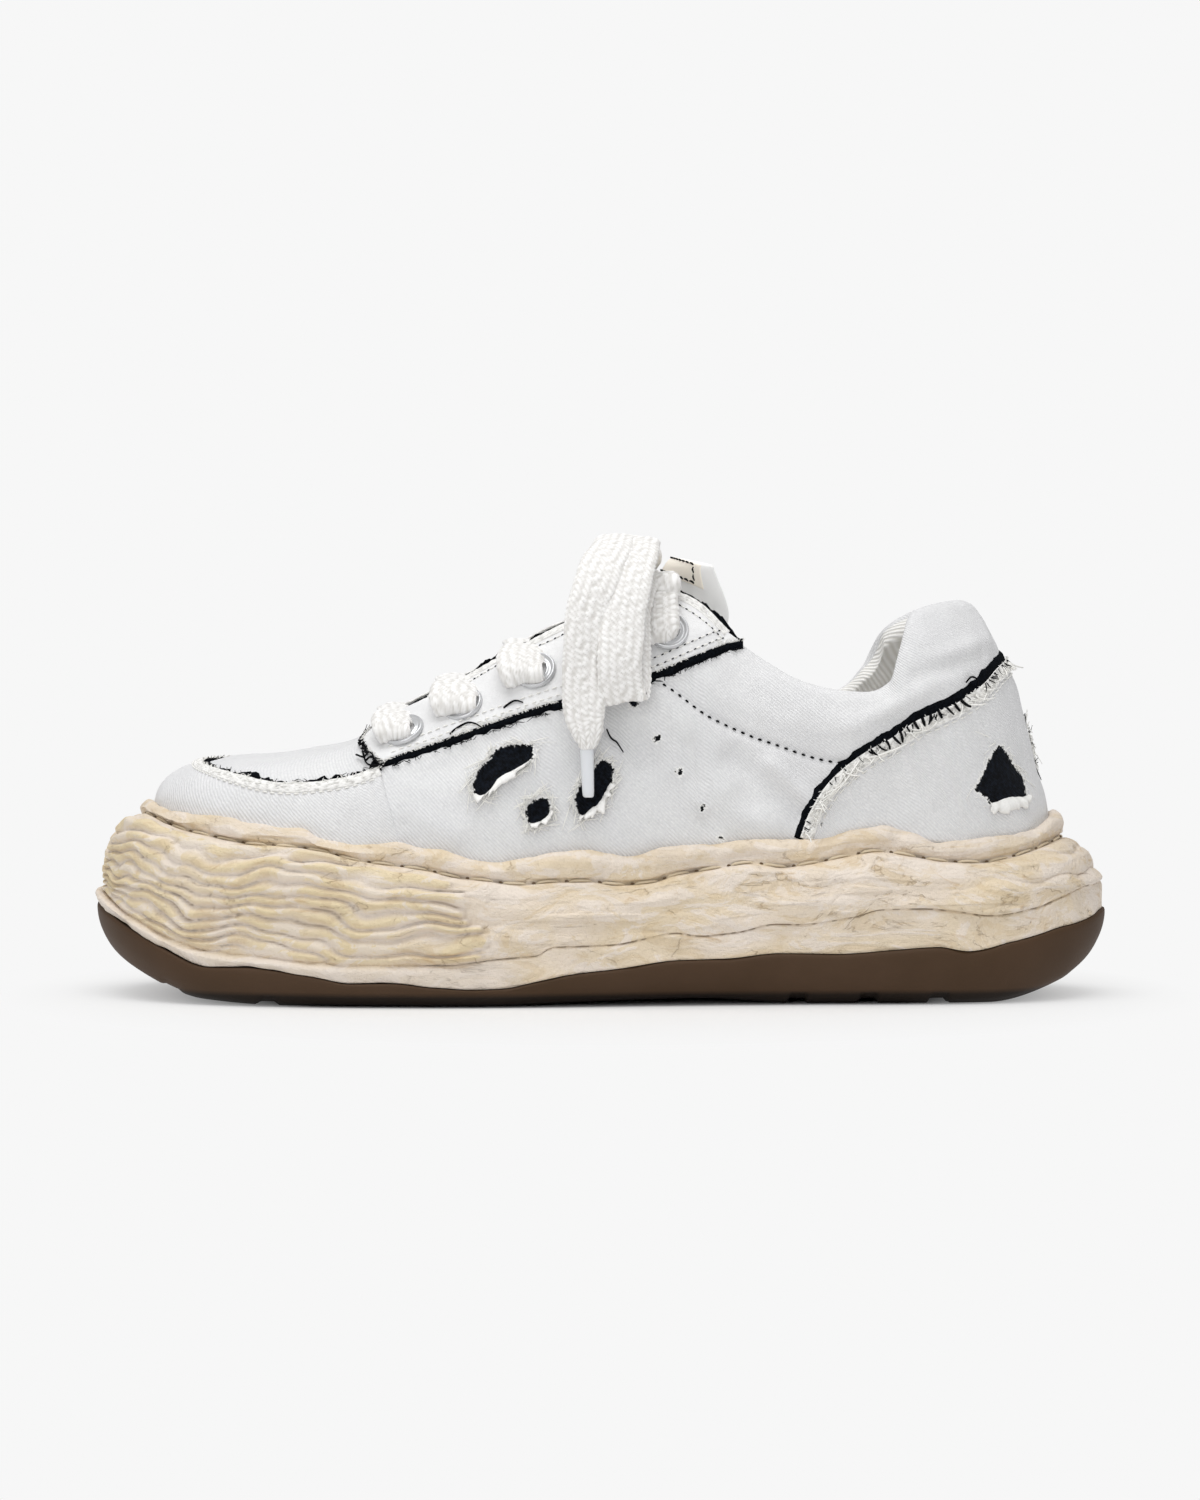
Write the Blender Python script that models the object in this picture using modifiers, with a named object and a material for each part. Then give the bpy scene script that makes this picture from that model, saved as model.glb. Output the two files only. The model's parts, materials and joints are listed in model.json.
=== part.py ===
"""A left low-top sneaker with a thick hand-shaped rubber sole, a raw-edged canvas upper and a flat lace.

Lengths in the tables are millimetres. +X runs from toe to heel, the outer side of the foot is at -Y,
and the sole stands on z = 0. One closed outline, the last, runs round the foot at the rim of the sole;
the upper, the cup that holds it, the insole and the outsole are all worked out from that outline.
"""

import math

import bmesh
import bpy
import mathutils
import numpy as np

MM = 0.001
GAP = 0.3            # clearance between pieces that meet
AROUND = 70          # corners round the last
WALL = 2.2           # canvas, lining and stiffener together
INSOLE_THICK = 4.0
INSOLE_MARGIN = 0.5
TUCK = 3.0           # how far the straight foot of the upper ends below the top of the rim
COLLAR_PAD_FROM = 0.35
COLLAR_PAD_FULL = 0.8

# Round the last from the toe by the outer side, as (foot x, foot y) at the rim of the sole, the crest of
# the opening's edge above it (edge x, y, z), half the thickness of that edge, how far the wall rises
# straight up, how far it comes back out and down from its edge, and how far the sole flares beyond it.
LAST_COLUMNS = ("foot_x", "foot_y", "edge_x", "edge_y", "edge_z", "half", "rise", "out", "drop", "flare")
LAST = {
    "toe":              (-138, 6, -71, 2, 76.5, 1.5, 19, 38, 3.5, 18),
    "outer toe":        (-132, -17, -71, -7, 77, 1.5, 18.5, 36, 4, 17),
    "outer toe side":   (-116, -35, -70, -14, 79, 1.5, 19, 28, 7, 14),
    "outer vamp":       (-90, -46, -64, -18.5, 85.5, 1.5, 21, 18, 13, 11),
    "outer ball":       (-55, -50, -45, -21, 95.5, 1.5, 26, 15, 9, 10),
    "outer waist":      (-18, -48, -18, -22, 110.5, 1.5, 34, 16, 11, 10),
    "outer instep":     (12, -44, 6, -22, 120.5, 1.5, 38, 16, 14, 10),
    "outer corner":     (32, -41, 25, -22, 123.5, 1.6, 38, 14, 18, 10.5),
    "outer ankle":      (48, -39, 42, -26, 110, 2.6, 28, 8, 16, 11),
    "outer collar":     (66, -37, 60, -30, 98.5, 3.6, 20, 4, 14, 11.5),
    "outer dip":        (84, -36, 77, -32, 95, 4.0, 18, 3, 14, 12),
    "outer heel":       (101, -34.5, 86.5, -29, 98.5, 4.4, 20, 7, 14, 13),
    "outer heel rise":  (118, -30, 90.5, -24, 118, 5.4, 24, 13.5, 15, 14.5),
    "outer heel back":  (132, -18, 98, -14.5, 123, 6.0, 26, 16, 15, 16.5),
    "heel":             (138, -2, 104.5, -1, 124, 6.5, 26, 13.5, 17, 18),
    "inner heel back":  (132, 14, 96, 11, 121.5, 6.0, 26, 17, 15, 16.5),
    "inner heel rise":  (118, 26, 87, 20, 115, 5.2, 24, 14, 15, 14.5),
    "inner heel":       (101, 30, 81.5, 26, 102, 4.4, 20, 7, 14, 13),
    "inner dip":        (84, 31.5, 73, 28.5, 93.5, 4.0, 18, 3, 14, 12),
    "inner collar":     (66, 32, 58, 28, 97.5, 3.6, 20, 3, 14, 11),
    "inner ankle":      (48, 33.5, 42, 26.5, 109.5, 2.6, 28, 6, 16, 10),
    "inner corner":     (32, 36, 26, 23.5, 123.5, 1.6, 38, 12, 18, 9.5),
    "inner instep":     (12, 40, 6, 24, 121, 1.5, 38, 15, 14, 9),
    "inner waist":      (-18, 46, -18, 24, 111, 1.5, 34, 16, 11, 9),
    "inner ball":       (-55, 50, -45, 23.5, 96, 1.5, 26, 17, 9, 9.5),
    "inner vamp":       (-90, 49, -64, 20.5, 86, 1.5, 21, 19, 13, 11),
    "inner toe side":   (-116, 42, -70, 16, 80, 1.5, 19, 28, 7, 14),
    "inner toe":        (-132, 27, -71, 10, 77.5, 1.5, 18.5, 36, 4, 17),
}

# Heights of the sole along the foot: the cup's floor, the top of the rim, the stitched groove under the
# rim, the groove over the lowest band, the top edge of the outsole and the underside.
SOLE_COLUMNS = ("along", "bed", "rim", "groove", "band", "edge", "under")
SOLE = {
    "toe tip":    (-157, 37, 61, 54, 34, 29, 16),
    "toe":        (-141, 36, 59.5, 53, 25, 21, 8),
    "toe box":    (-120, 31, 57, 50.5, 18, 12.5, 1.2),
    "vamp":       (-97, 28, 54, 47.5, 17, 11, 0),
    "ball front": (-72, 26, 49, 43, 14, 7.5, 0),
    "ball":       (-35, 25, 44.5, 38, 13.5, 5.5, 0),
    "waist":      (0, 27, 46.5, 38.5, 18, 11, 1.2),
    "arch":       (30, 29.5, 48, 41, 21.5, 14, 1.8),
    "heel front": (62, 32, 50, 43, 24.5, 15.5, 0),
    "heel":       (90, 34, 52.5, 45.5, 28.5, 17, 0),
    "heel seat":  (118, 35, 50, 43, 27, 18, 0),
    "heel back":  (141, 36, 56, 48.5, 32, 23, 5.5),
    "heel tip":   (157, 36, 57, 49, 36, 27.5, 15),
}

# Outside of the midsole from the rim down: distance out from the last, share of the flare added to it,
# and the height, as a line of the SOLE table and a step from it.
MIDSOLE_SIDE = {
    "lip":        (GAP, 0.0, "rim", -1.4),
    "crest":      (2.4, 0.0, "rim", 0.0),
    "rim face":   (4.6, 0.02, "rim", -2.4),
    "rim foot":   (4.4, 0.02, "groove", 1.4),
    "stitching":  (3.4, 0.06, "groove", 0.0),
    "shoulder":   (3.2, 0.32, "groove", -2.2),
    "body":       (1.6, 0.66, "groove", -8.0),
    "body foot":  (0.0, 0.84, "band", 1.2),
    "crease":     (0.0, 0.82, "band", 0.0),
    "band face":  (0.0, 1.04, "band", -2.2),
    "band foot":  (0.0, 0.97, "edge", GAP / 2),
}

# Outside of the outsole: distance out beyond the flare, and share of the way up from the underside.
OUTSOLE_SIDE = {
    "lip":   (0.3, 0.82),
    "side":  (-0.8, 0.45),
    "turn":  (-4.0, 0.13),
    "tread": (-9.0, 0.0),
}
GROOVE_WIDE = 5.0
GROOVE_DEEP = 2.0
GROOVE_BOW = 5.0     # how far a tread groove bows towards the toe at its middle
GROOVES_ALONG = (-102, -81.5, -61, -40.5, -20, 59, 80, 101, 120)

# The tongue from under the vamp to its free top: place along and height of its crest, half its width,
# how far its sides fall below the crest and lie behind it, and half its thickness.
TONGUE_COLUMNS = ("x", "z", "half_wide", "fall", "sweep", "half_thick")
TONGUE_MIDDLE = 1.0
TONGUE = {
    "root":    (-86, 69.5, 19, 5.0, 0, 1.0),
    "vamp":    (-71, 71.2, 20, 6.0, 1, 1.1),
    "bar 1":   (-57, 83.5, 21.5, 9.5, 3, 1.6),
    "bar 2":   (-38, 96.5, 23.0, 12.0, 5, 2.2),
    "bar 4":   (-10, 109.4, 24.0, 14.0, 8, 2.8),
    "bar 5":   (8, 117.8, 23.8, 14.5, 13, 3.1),
    "collar":  (18.5, 123.6, 22.0, 9.5, 20, 3.3),
    "top":     (25.5, 134.5, 26.0, 2.0, 9, 3.2),
}
TONGUE_ACROSS = 9
TONGUE_ALONG = 15

EYELETS = 5
EYELET_SIDES = 12
EYELET_FIRST_X = -60.0
EYELET_LAST_X = 20.0
EYELET_DOWN_FIRST = 14.5  # from the throat's edge to the first eyelet, along the upper
EYELET_DOWN_LAST = 12.5   # and to the last one
EYELET_LIFT = 0.5    # clearance under the ring, which is flat on a curved wall
EYELET_RADIUS = 6.4
EYELET_HOLE = 3.4
EYELET_TUBE = 1.6    # thickness of the ring

LACE_THICK = 3.0
BAR_WIDE = 19.0      # a straight run, a little narrower than the lace lies free
TOP_BAR_WIDE = 15.0  # the top run, drawn up under the knot
LACE_GATHERED = 12.0 # width where a bar dips into its eyelet
BAR_CLEAR = 0.9      # from the ring to the lace over it
BAR_OVER_EDGE = 1.6  # from the throat's edge to the lace over it
BAR_RISE = 0.5       # how much higher a bar lies at its middle than over the edges
BAR_STATIONS = 13
LACE_EDGE = 0.9      # how far the lace's rounded edge reaches in

KNOT_MIDDLE = (9.0, 1.0, 134.5)
KNOT_HALF = (9.5, 8.0, 5.2)
KNOT_CAGE = 1.28     # the cage is this much larger than the soft lump inside it

# Routes of the bow on the outer side: place along, across and up, and the lace's width there.
LOOP_ROUTE = {
    "knot":        (12, -7.8, 135.4, 9),
    "over":        (11, -20, 136.6, 14),
    "shoulder":    (9, -31, 133.8, 18),
    "outside":     (7, -40, 125.5, 19),
    "hang":        (6, -46, 113.5, 20),
    "low outside": (5.6, -48.2, 101, 20),
    "fold":        (5.6, -45.8, 91.5, 20),
    "low inside":  (5.6, -42.4, 100, 20),
    "inside":      (6.3, -39.7, 111.5, 19),
    "under":       (8.5, -34.2, 124, 16),
    "back":        (11.5, -22, 130, 14),
    "knot below":  (11, -7.0, 130.8, 9),
}
END_ROUTE = {
    "knot":        (4.5, -6.5, 138.9, 8),
    "over":        (4.5, -20, 141.2, 13),
    "shoulder":    (2.5, -33, 138.6, 18),
    "outside":     (0.5, -43.5, 129.5, 20),
    "hang":        (-1.5, -50, 116.5, 20),
    "low":         (-2.5, -52.6, 103.5, 19),
    "lower":       (-3.5, -52, 92, 16),
    "gather":      (-4.2, -50.5, 84, 11),
    "tip":         (-4, -49, 78, 4.5),
}
AGLET_HIGH = (-4.0, -48.9, 77.6)
AGLET_LOW = (-3.5, -47.8, 62.5)
AGLET_RADIUS = 2.1


def steady_curve(xs, ys, x):
    """Smooth curve through (xs, ys) that never overshoots: a cubic Hermite with harmonic-mean slopes."""
    xs, ys, x = np.asarray(xs, float), np.asarray(ys, float), np.asarray(x, float)
    step = np.diff(xs)
    slope = np.diff(ys) / step
    both = slope[:-1] * slope[1:]
    mean = np.where(both > 0, 2 * both / np.where(both > 0, slope[:-1] + slope[1:], 1), 0)
    tangent = np.concatenate([slope[:1], mean, slope[-1:]])
    x = np.clip(x, xs[0], xs[-1])
    i = np.clip(np.searchsorted(xs, x) - 1, 0, len(step) - 1)
    t = (x - xs[i]) / step[i]
    return (
        (2 * t**3 - 3 * t**2 + 1) * ys[i]
        + (t**3 - 2 * t**2 + t) * step[i] * tangent[i]
        + (3 * t**2 - 2 * t**3) * ys[i + 1]
        + (t**3 - t**2) * step[i] * tangent[i + 1]
    )


def sole_line(column, x):
    rows = np.array(list(SOLE.values()), float)
    return steady_curve(rows[:, 0], rows[:, SOLE_COLUMNS.index(column)], x)


def round_last(turn):
    """Rows of the LAST table at places from 0 to 1 round it: a closed Catmull-Rom curve through its rows."""
    rows = np.array(list(LAST.values()), float)
    place = np.asarray(turn, float) % 1 * len(rows)
    i = np.floor(place).astype(int)
    t = (place - i)[..., None]
    before, here, after, last = (rows[(i + k) % len(rows)] for k in (-1, 0, 1, 2))
    cubic = 3 * (here - after) + last - before
    found = here + 0.5 * t * (after - before + t * (2 * before - 5 * here + 4 * after - last + t * cubic))
    return {name: found[..., k] for k, name in enumerate(LAST_COLUMNS)}


def outward(turn):
    """Level unit vectors that point out of the last at these places."""
    ahead, behind = round_last(turn + 1e-4), round_last(turn - 1e-4)
    dx, dy = ahead["foot_x"] - behind["foot_x"], ahead["foot_y"] - behind["foot_y"]
    length = np.hypot(dx, dy)
    return np.stack([dy / length, -dx / length], axis=-1)


def last_outline(turn, out):
    """Plan points of the last moved out by a distance, as x and y."""
    row, away = round_last(turn), outward(turn)
    return row["foot_x"] + away[..., 0] * out, row["foot_y"] + away[..., 1] * out


def upper_face(turn, climb):
    """Outer face of the upper: straight lines up out of the cup, bent over to the edge of the opening.

    Each line is a cubic curve. It leaves the rim straight up, and comes to the edge from outside and
    below. climb is 0 at the rim and 1 at the edge.
    """
    row, away = round_last(turn), outward(turn)
    level = lambda x, y, z: np.stack(np.broadcast_arrays(x, y, z), axis=-1)
    foot = level(row["foot_x"], row["foot_y"], sole_line("rim", row["foot_x"]) - TUCK)
    edge_x = row["edge_x"] + away[..., 0] * row["half"]
    edge_y = row["edge_y"] + away[..., 1] * row["half"]
    edge = level(edge_x, edge_y, row["edge_z"])
    over_foot = foot + level(0, 0, row["rise"])
    towards = foot[..., :2] - edge[..., :2]
    towards = towards / np.maximum(np.linalg.norm(towards, axis=-1, keepdims=True), 1e-9)
    padded = blend(row["half"], 1.6, 2.6)[..., None]
    beside = away * padded + towards * (1 - padded)
    beside = beside / np.maximum(np.linalg.norm(beside, axis=-1, keepdims=True), 1e-9)
    over_edge = edge + level(beside[..., 0] * row["out"], beside[..., 1] * row["out"], -row["drop"])
    t = np.asarray(climb, float)[..., None]
    s = 1 - t
    return s**3 * foot + 3 * s**2 * t * over_foot + 3 * s * t**2 * over_edge + t**3 * edge


def upper_out(turn, climb):
    """Unit vectors out of the upper's face."""
    small = 1e-3
    up = upper_face(turn, climb + small) - upper_face(turn, climb - small)
    along = upper_face(turn + small, climb) - upper_face(turn - small, climb)
    normal = np.cross(along, up)
    return normal / np.linalg.norm(normal, axis=-1, keepdims=True)


def blend(x, start, end):
    t = np.clip((x - start) / (end - start), 0, 1)
    return t * t * (3 - 2 * t)


def upper_rings(turn, straight, rounding):
    """Rings from the outer foot of the upper over its rounded edge and down its inner face."""
    row = round_last(turn)
    half_edge = row["half"]
    length = np.linalg.norm(upper_face(turn, 1.0) - upper_face(turn, 0.0), axis=-1)
    round_from = 1 - 1.1 * half_edge / length
    outer, inner = [], []
    x, y = last_outline(turn, 0)
    inner_x, inner_y = last_outline(turn, -WALL)
    sole_top = sole_line("bed", x) + GAP
    for sink in (0.0, 0.5):
        level = sole_top + (sole_line("rim", x) - TUCK - sole_top) * sink
        outer.append(np.stack([x, y, level], axis=-1))
        inner.append(np.stack([inner_x, inner_y, level], axis=-1))
    for k in range(straight + rounding):
        if k < straight:
            climb, bend = round_from * k / straight, 0.0
        else:
            bend = math.sin(math.pi / 2 * (k - straight) / rounding)
            climb = round_from + (1 - round_from) * bend
        half = WALL / 2 + (half_edge - WALL / 2) * blend(climb, COLLAR_PAD_FROM, COLLAR_PAD_FULL)
        face, normal = upper_face(turn, climb), upper_out(turn, climb)
        shape = math.sqrt(1 - bend * bend)
        outer.append(face - normal * (half * (1 - shape))[:, None])
        inner.append(face - normal * (half * (1 + shape))[:, None])
    crest = upper_face(turn, 1.0) - upper_out(turn, 1.0) * half_edge[:, None]
    return outer + [crest] + inner[::-1]


def collection(name):
    made = bpy.data.collections.new(name)
    bpy.context.scene.collection.children.link(made)
    return made


def material(name, rgb, roughness, metallic=0.0):
    made = bpy.data.materials.new(name)
    made.use_nodes = True
    shader = made.node_tree.nodes["Principled BSDF"]
    shader.inputs["Base Color"].default_value = (*rgb, 1.0)
    shader.inputs["Roughness"].default_value = roughness
    shader.inputs["Metallic"].default_value = metallic
    made.diffuse_color = (*rgb, 1.0)
    return made


def add_mesh(name, points, faces, finish, where):
    """An object with its faces turned outwards, from points in millimetres."""
    mesh = bpy.data.meshes.new(name)
    mesh.from_pydata((np.asarray(points, float) * MM).tolist(), [], faces)
    shaped = bmesh.new()
    shaped.from_mesh(mesh)
    bmesh.ops.recalc_face_normals(shaped, faces=shaped.faces)
    shaped.to_mesh(mesh)
    shaped.free()
    mesh.materials.append(finish)
    mesh.shade_smooth()
    mesh.set_sharp_from_angle(angle=math.radians(50))
    made = bpy.data.objects.new(name, mesh)
    where.objects.link(made)
    return made


def ring_faces(rings, around, closed=False):
    """Quads between rings of points; closed joins the last ring to the first."""
    faces = []
    for j in range(rings if closed else rings - 1):
        low, high = j * around, (j + 1) % rings * around
        for i in range(around):
            k = (i + 1) % around
            faces.append((low + i, low + k, high + k, high + i))
    return faces


def ladder(start, around):
    """Faces that close a ring by rungs from its outer side to its inner side, toe to heel."""
    half = around // 2
    faces = [(start, start + 1, start + around - 1)]
    for i in range(1, half - 1):
        faces.append((start + i, start + i + 1, start + around - i - 1, start + around - i))
    faces.append((start + half - 1, start + half, start + half + 1))
    return faces


def capped(name, rings, finish, where):
    """A solid whose sides are rings round the last and whose ends are closed by ladders."""
    around = len(rings[0])
    faces = ring_faces(len(rings), around) + ladder(0, around) + ladder((len(rings) - 1) * around, around)
    return add_mesh(name, np.concatenate(rings), faces, finish, where)


def places_round():
    return np.arange(AROUND) / AROUND


def make_upper(finish, where):
    """One hollow wall, open at collar and throat and underneath."""
    rings = upper_rings(places_round(), straight=9, rounding=3)
    faces = ring_faces(len(rings), AROUND, closed=True)
    return add_mesh("upper", np.concatenate(rings), faces, finish, where)


def make_midsole(finish, where):
    """The cup: floor, straight inside wall, rolled rim, flared body and the lowest band."""
    turn = places_round()
    flare = round_last(turn)["flare"]
    x, y = last_outline(turn, GAP)
    rings = [np.stack([x, y, sole_line("bed", x)], axis=-1)]
    for out, share, line, step in MIDSOLE_SIDE.values():
        x, y = last_outline(turn, out + share * flare)
        rings.append(np.stack([x, y, sole_line(line, x) + step], axis=-1))
    return capped("midsole", rings, finish, where)


def make_outsole(finish, where, cutters):
    """Brown rubber under the midsole, turned up at toe and heel, with bowed grooves across it."""
    turn = places_round()
    flare = round_last(turn)["flare"]
    x, y = last_outline(turn, MIDSOLE_SIDE["band foot"][1] * flare)
    rings = [np.stack([x, y, sole_line("edge", x) - GAP / 2], axis=-1)]
    for beyond, share in OUTSOLE_SIDE.values():
        x, y = last_outline(turn, flare + beyond)
        under, edge = sole_line("under", x), sole_line("edge", x)
        rings.append(np.stack([x, y, under + (edge - under) * share], axis=-1))
    made = capped("outsole", rings, finish, where)
    for k, along in enumerate(GROOVES_ALONG):
        cutter = groove_cutter(f"tread_groove_{k + 1}", along, cutters)
        cut = made.modifiers.new(cutter.name, "BOOLEAN")
        cut.operation = "DIFFERENCE"
        cut.solver = "EXACT"
        cut.object = cutter
    return made


def groove_cutter(name, along, cutters):
    """A bowed bar across the sole, in four straight stretches."""
    across = np.linspace(-75, 75, 5)
    middle = along - GROOVE_BOW * (1 - (across / 75) ** 2)
    top = float(sole_line("under", along)) + GROOVE_DEEP
    points = [
        (x + side * GROOVE_WIDE / 2, y, z)
        for x, y in zip(middle, across)
        for side, z in ((-1, -5), (1, -5), (0.8, top), (-0.8, top))
    ]
    faces = [(0, 1, 2, 3), (16, 17, 18, 19)]
    for j in range(4):
        faces += [(4 * j + i, 4 * j + (i + 1) % 4, 4 * j + 4 + (i + 1) % 4, 4 * j + 4 + i) for i in range(4)]
    made = add_mesh(name, points, faces, None, cutters)
    made.hide_render = True
    made.display_type = "WIRE"
    return made


def make_insole(finish, where):
    turn = places_round()
    rings = []
    for inset, up in ((0.0, 0.0), (0.0, 0.7), (1.5, 1.0)):
        x, y = last_outline(turn, -WALL - INSOLE_MARGIN - inset)
        rings.append(np.stack([x, y, sole_line("bed", x) + 1.3 * GAP + INSOLE_THICK * up], axis=-1))
    return capped("insole", rings, finish, where)


def tongue_section(along):
    rows = np.array(list(TONGUE.values()), float)
    place = np.asarray(along) * (len(rows) - 1)
    found = [steady_curve(np.arange(len(rows)), rows[:, k], place) for k in range(rows.shape[1])]
    return dict(zip(TONGUE_COLUMNS, found))


def make_tongue(finish, where):
    """Sections across the tongue: a padded lens bent down and back at its sides."""
    along = np.linspace(0, 1, TONGUE_ALONG)
    row, ahead, behind = tongue_section(along), tongue_section(along + 0.01), tongue_section(along - 0.01)
    slope = np.stack([ahead["x"] - behind["x"], ahead["z"] - behind["z"]], axis=-1)
    slope /= np.linalg.norm(slope, axis=-1, keepdims=True)
    top = np.linspace(-1, 1, TONGUE_ACROSS)
    lines = []
    for a, side in [(a, 1) for a in top] + [(a, -1) for a in top[-2:0:-1]]:
        puff = row["half_thick"] * (1 - a**4) * side
        x = row["x"] - slope[:, 1] * puff + row["sweep"] * a * a
        z = row["z"] + slope[:, 0] * puff - row["fall"] * a * a
        lines.append(np.stack([x, TONGUE_MIDDLE + row["half_wide"] * a, z], axis=-1))
    around = len(lines)
    faces = ring_faces(TONGUE_ALONG, around)
    for start in (0, (TONGUE_ALONG - 1) * around):
        faces += ladder(start, around)
    return add_mesh("tongue", np.stack(lines, axis=1).reshape(-1, 3), faces, finish, where)


def eyelet_seats(side):
    """Middle, outward and along-the-throat directions of the eyelets, and the throat's edge over each.

    side is -1 on the outer side of the foot and 1 on the inner side.
    """
    first, last = (3, 7) if side < 0 else (25, 21)
    turn = np.linspace(first, last, 161) / len(LAST)
    climb = np.linspace(0.3, 1, 71)
    lines = upper_face(turn[:, None] + 0 * climb, climb + 0 * turn[:, None])
    steps = np.linalg.norm(np.diff(lines, axis=1), axis=-1)
    down = np.cumsum(steps[:, ::-1], axis=1)[:, ::-1]
    wanted_down = np.linspace(EYELET_DOWN_FIRST, EYELET_DOWN_LAST, len(turn))
    seat_climb = np.array([np.interp(-far, -d, climb[:-1]) for far, d in zip(wanted_down, down)])
    seat_x = upper_face(turn, seat_climb)[:, 0]
    wanted = np.linspace(EYELET_FIRST_X, EYELET_LAST_X, EYELETS)
    turn, seat_climb = np.interp(wanted, seat_x, turn), np.interp(wanted, seat_x, seat_climb)
    middle, out = upper_face(turn, seat_climb), upper_out(turn, seat_climb)
    near = upper_face(turn + 1e-3, seat_climb) - upper_face(turn - 1e-3, seat_climb)
    along = near / np.linalg.norm(near, axis=-1, keepdims=True) * -side
    edge = upper_face(turn, np.ones(EYELETS))
    return middle, out, along, edge


def make_eyelet(name, middle, out, along, finish, where):
    """A turned ring that lies on the upper."""
    width = EYELET_RADIUS - EYELET_HOLE
    profile = (
        (EYELET_RADIUS, 0.0), (EYELET_RADIUS - 0.1 * width, 0.6 * EYELET_TUBE),
        (EYELET_RADIUS - 0.5 * width, EYELET_TUBE), (EYELET_HOLE + 0.1 * width, 0.6 * EYELET_TUBE),
        (EYELET_HOLE, 0.0),
    )
    mesh = bpy.data.meshes.new(name)
    corners = len(profile)
    edges = [(i, (i + 1) % corners) for i in range(corners)]
    mesh.from_pydata([(r * MM, 0, h * MM) for r, h in profile], edges, [])
    mesh.materials.append(finish)
    made = bpy.data.objects.new(name, mesh)
    turned = made.modifiers.new("turned", "SCREW")
    turned.angle = math.tau
    turned.steps = turned.render_steps = EYELET_SIDES
    turned.use_merge_vertices = True
    turned.merge_threshold = 1e-5
    turned.use_normal_flip = True
    across = np.cross(out, along)
    place = mathutils.Matrix(np.column_stack([along, across, out]).tolist()).to_4x4()
    place.translation = (middle + out * EYELET_LIFT) * MM
    made.matrix_world = place
    where.objects.link(made)
    return made


def through(points, count):
    """A smooth curve through points: Catmull-Rom, with count evenly spread places."""
    points = np.asarray(points, float)
    padded = np.concatenate([[2 * points[0] - points[1]], points, [2 * points[-1] - points[-2]]])
    place = np.linspace(0, len(points) - 1, 40 * len(points))
    i = np.minimum(place.astype(int), len(points) - 2)
    t = (place - i)[:, None]
    p0, p1, p2, p3 = (padded[i + k] for k in range(4))
    fine = p1 + 0.5 * t * (p2 - p0 + t * (2 * p0 - 5 * p1 + 4 * p2 - p3 + t * (3 * (p1 - p2) + p3 - p0)))
    run = np.concatenate([[0], np.cumsum(np.linalg.norm(np.diff(fine, axis=0), axis=1))])
    even = np.linspace(0, run[-1], count)
    return np.stack([np.interp(even, run, fine[:, k]) for k in range(3)], axis=-1)


def make_lace(name, path, widths, flat, finish, where):
    """Flat lace along a path: a six-cornered band, flat is the direction that its width lies along."""
    ahead = np.gradient(path, axis=0)
    ahead /= np.linalg.norm(ahead, axis=1, keepdims=True)
    side = flat - (flat * ahead).sum(axis=1, keepdims=True) * ahead
    side /= np.linalg.norm(side, axis=1, keepdims=True)
    up = np.cross(side, ahead)
    half, thick = np.asarray(widths, float)[:, None] / 2, LACE_THICK / 2
    section = ((-1, 0, 0), (-1, 1, 1), (1, -1, 1), (1, 0, 0), (1, -1, -1), (-1, 1, -1))
    lines = [path + side * (half * w + LACE_EDGE * e) + up * thick * h for w, e, h in section]
    around = len(lines)
    faces = ring_faces(len(path), around) + ladder(0, around) + ladder((len(path) - 1) * around, around)
    return add_mesh(name, np.stack(lines, axis=1).reshape(-1, 3), faces, finish, where)


def make_lace_bars(finish, where):
    """Straight runs of the lace over the throat, gathered where they dip into the eyelets."""
    outer, inner = eyelet_seats(-1), eyelet_seats(1)
    for k in range(EYELETS):
        points, crest = [], []
        for middle, out, along, edge in (outer, inner):
            lift = EYELET_LIFT + EYELET_TUBE + BAR_CLEAR + LACE_THICK / 2
            rim = edge[k] + out[k] * (BAR_OVER_EDGE + LACE_THICK / 2)
            points.append((middle[k] + out[k] * lift, (middle[k] + edge[k]) / 2 + out[k] * (lift + 0.8), rim))
            crest.append(rim)
        top = (crest[0] + crest[1]) / 2
        top[2] += BAR_RISE
        if k == EYELETS - 1:
            top = np.array(KNOT_MIDDLE) - np.array([0, 0, KNOT_HALF[2] + 3 * GAP + LACE_THICK / 2])
        path = through([*points[0], top, *points[1][::-1]], BAR_STATIONS)
        flat = (outer[2][k] + inner[2][k]) / 2
        place = np.linspace(-1, 1, BAR_STATIONS)
        widths = BAR_WIDE - (BAR_WIDE - LACE_GATHERED) * blend(np.abs(place), 0.45, 1.0)
        if k == EYELETS - 1:
            gathered = blend(np.abs(np.abs(place) - 0.5), 0.1, 0.5)
            widths = TOP_BAR_WIDE - (TOP_BAR_WIDE - LACE_GATHERED) * gathered
        make_lace(f"lace_bar_{k + 1}", path, widths, np.tile(flat, (BAR_STATIONS, 1)), finish, where)


def make_knot(finish, where):
    """A lump from a coarse cage."""
    shaped = bmesh.new()
    bmesh.ops.create_cube(shaped, size=2.0)
    bmesh.ops.scale(shaped, verts=shaped.verts, vec=[h * MM * KNOT_CAGE for h in KNOT_HALF])
    mesh = bpy.data.meshes.new("lace_knot")
    shaped.to_mesh(mesh)
    shaped.free()
    mesh.materials.append(finish)
    made = bpy.data.objects.new("lace_knot", mesh)
    made.location = [v * MM for v in KNOT_MIDDLE]
    soft = made.modifiers.new("soft", "SUBSURF")
    soft.levels = soft.render_levels = 2
    where.objects.link(made)
    return made


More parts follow.
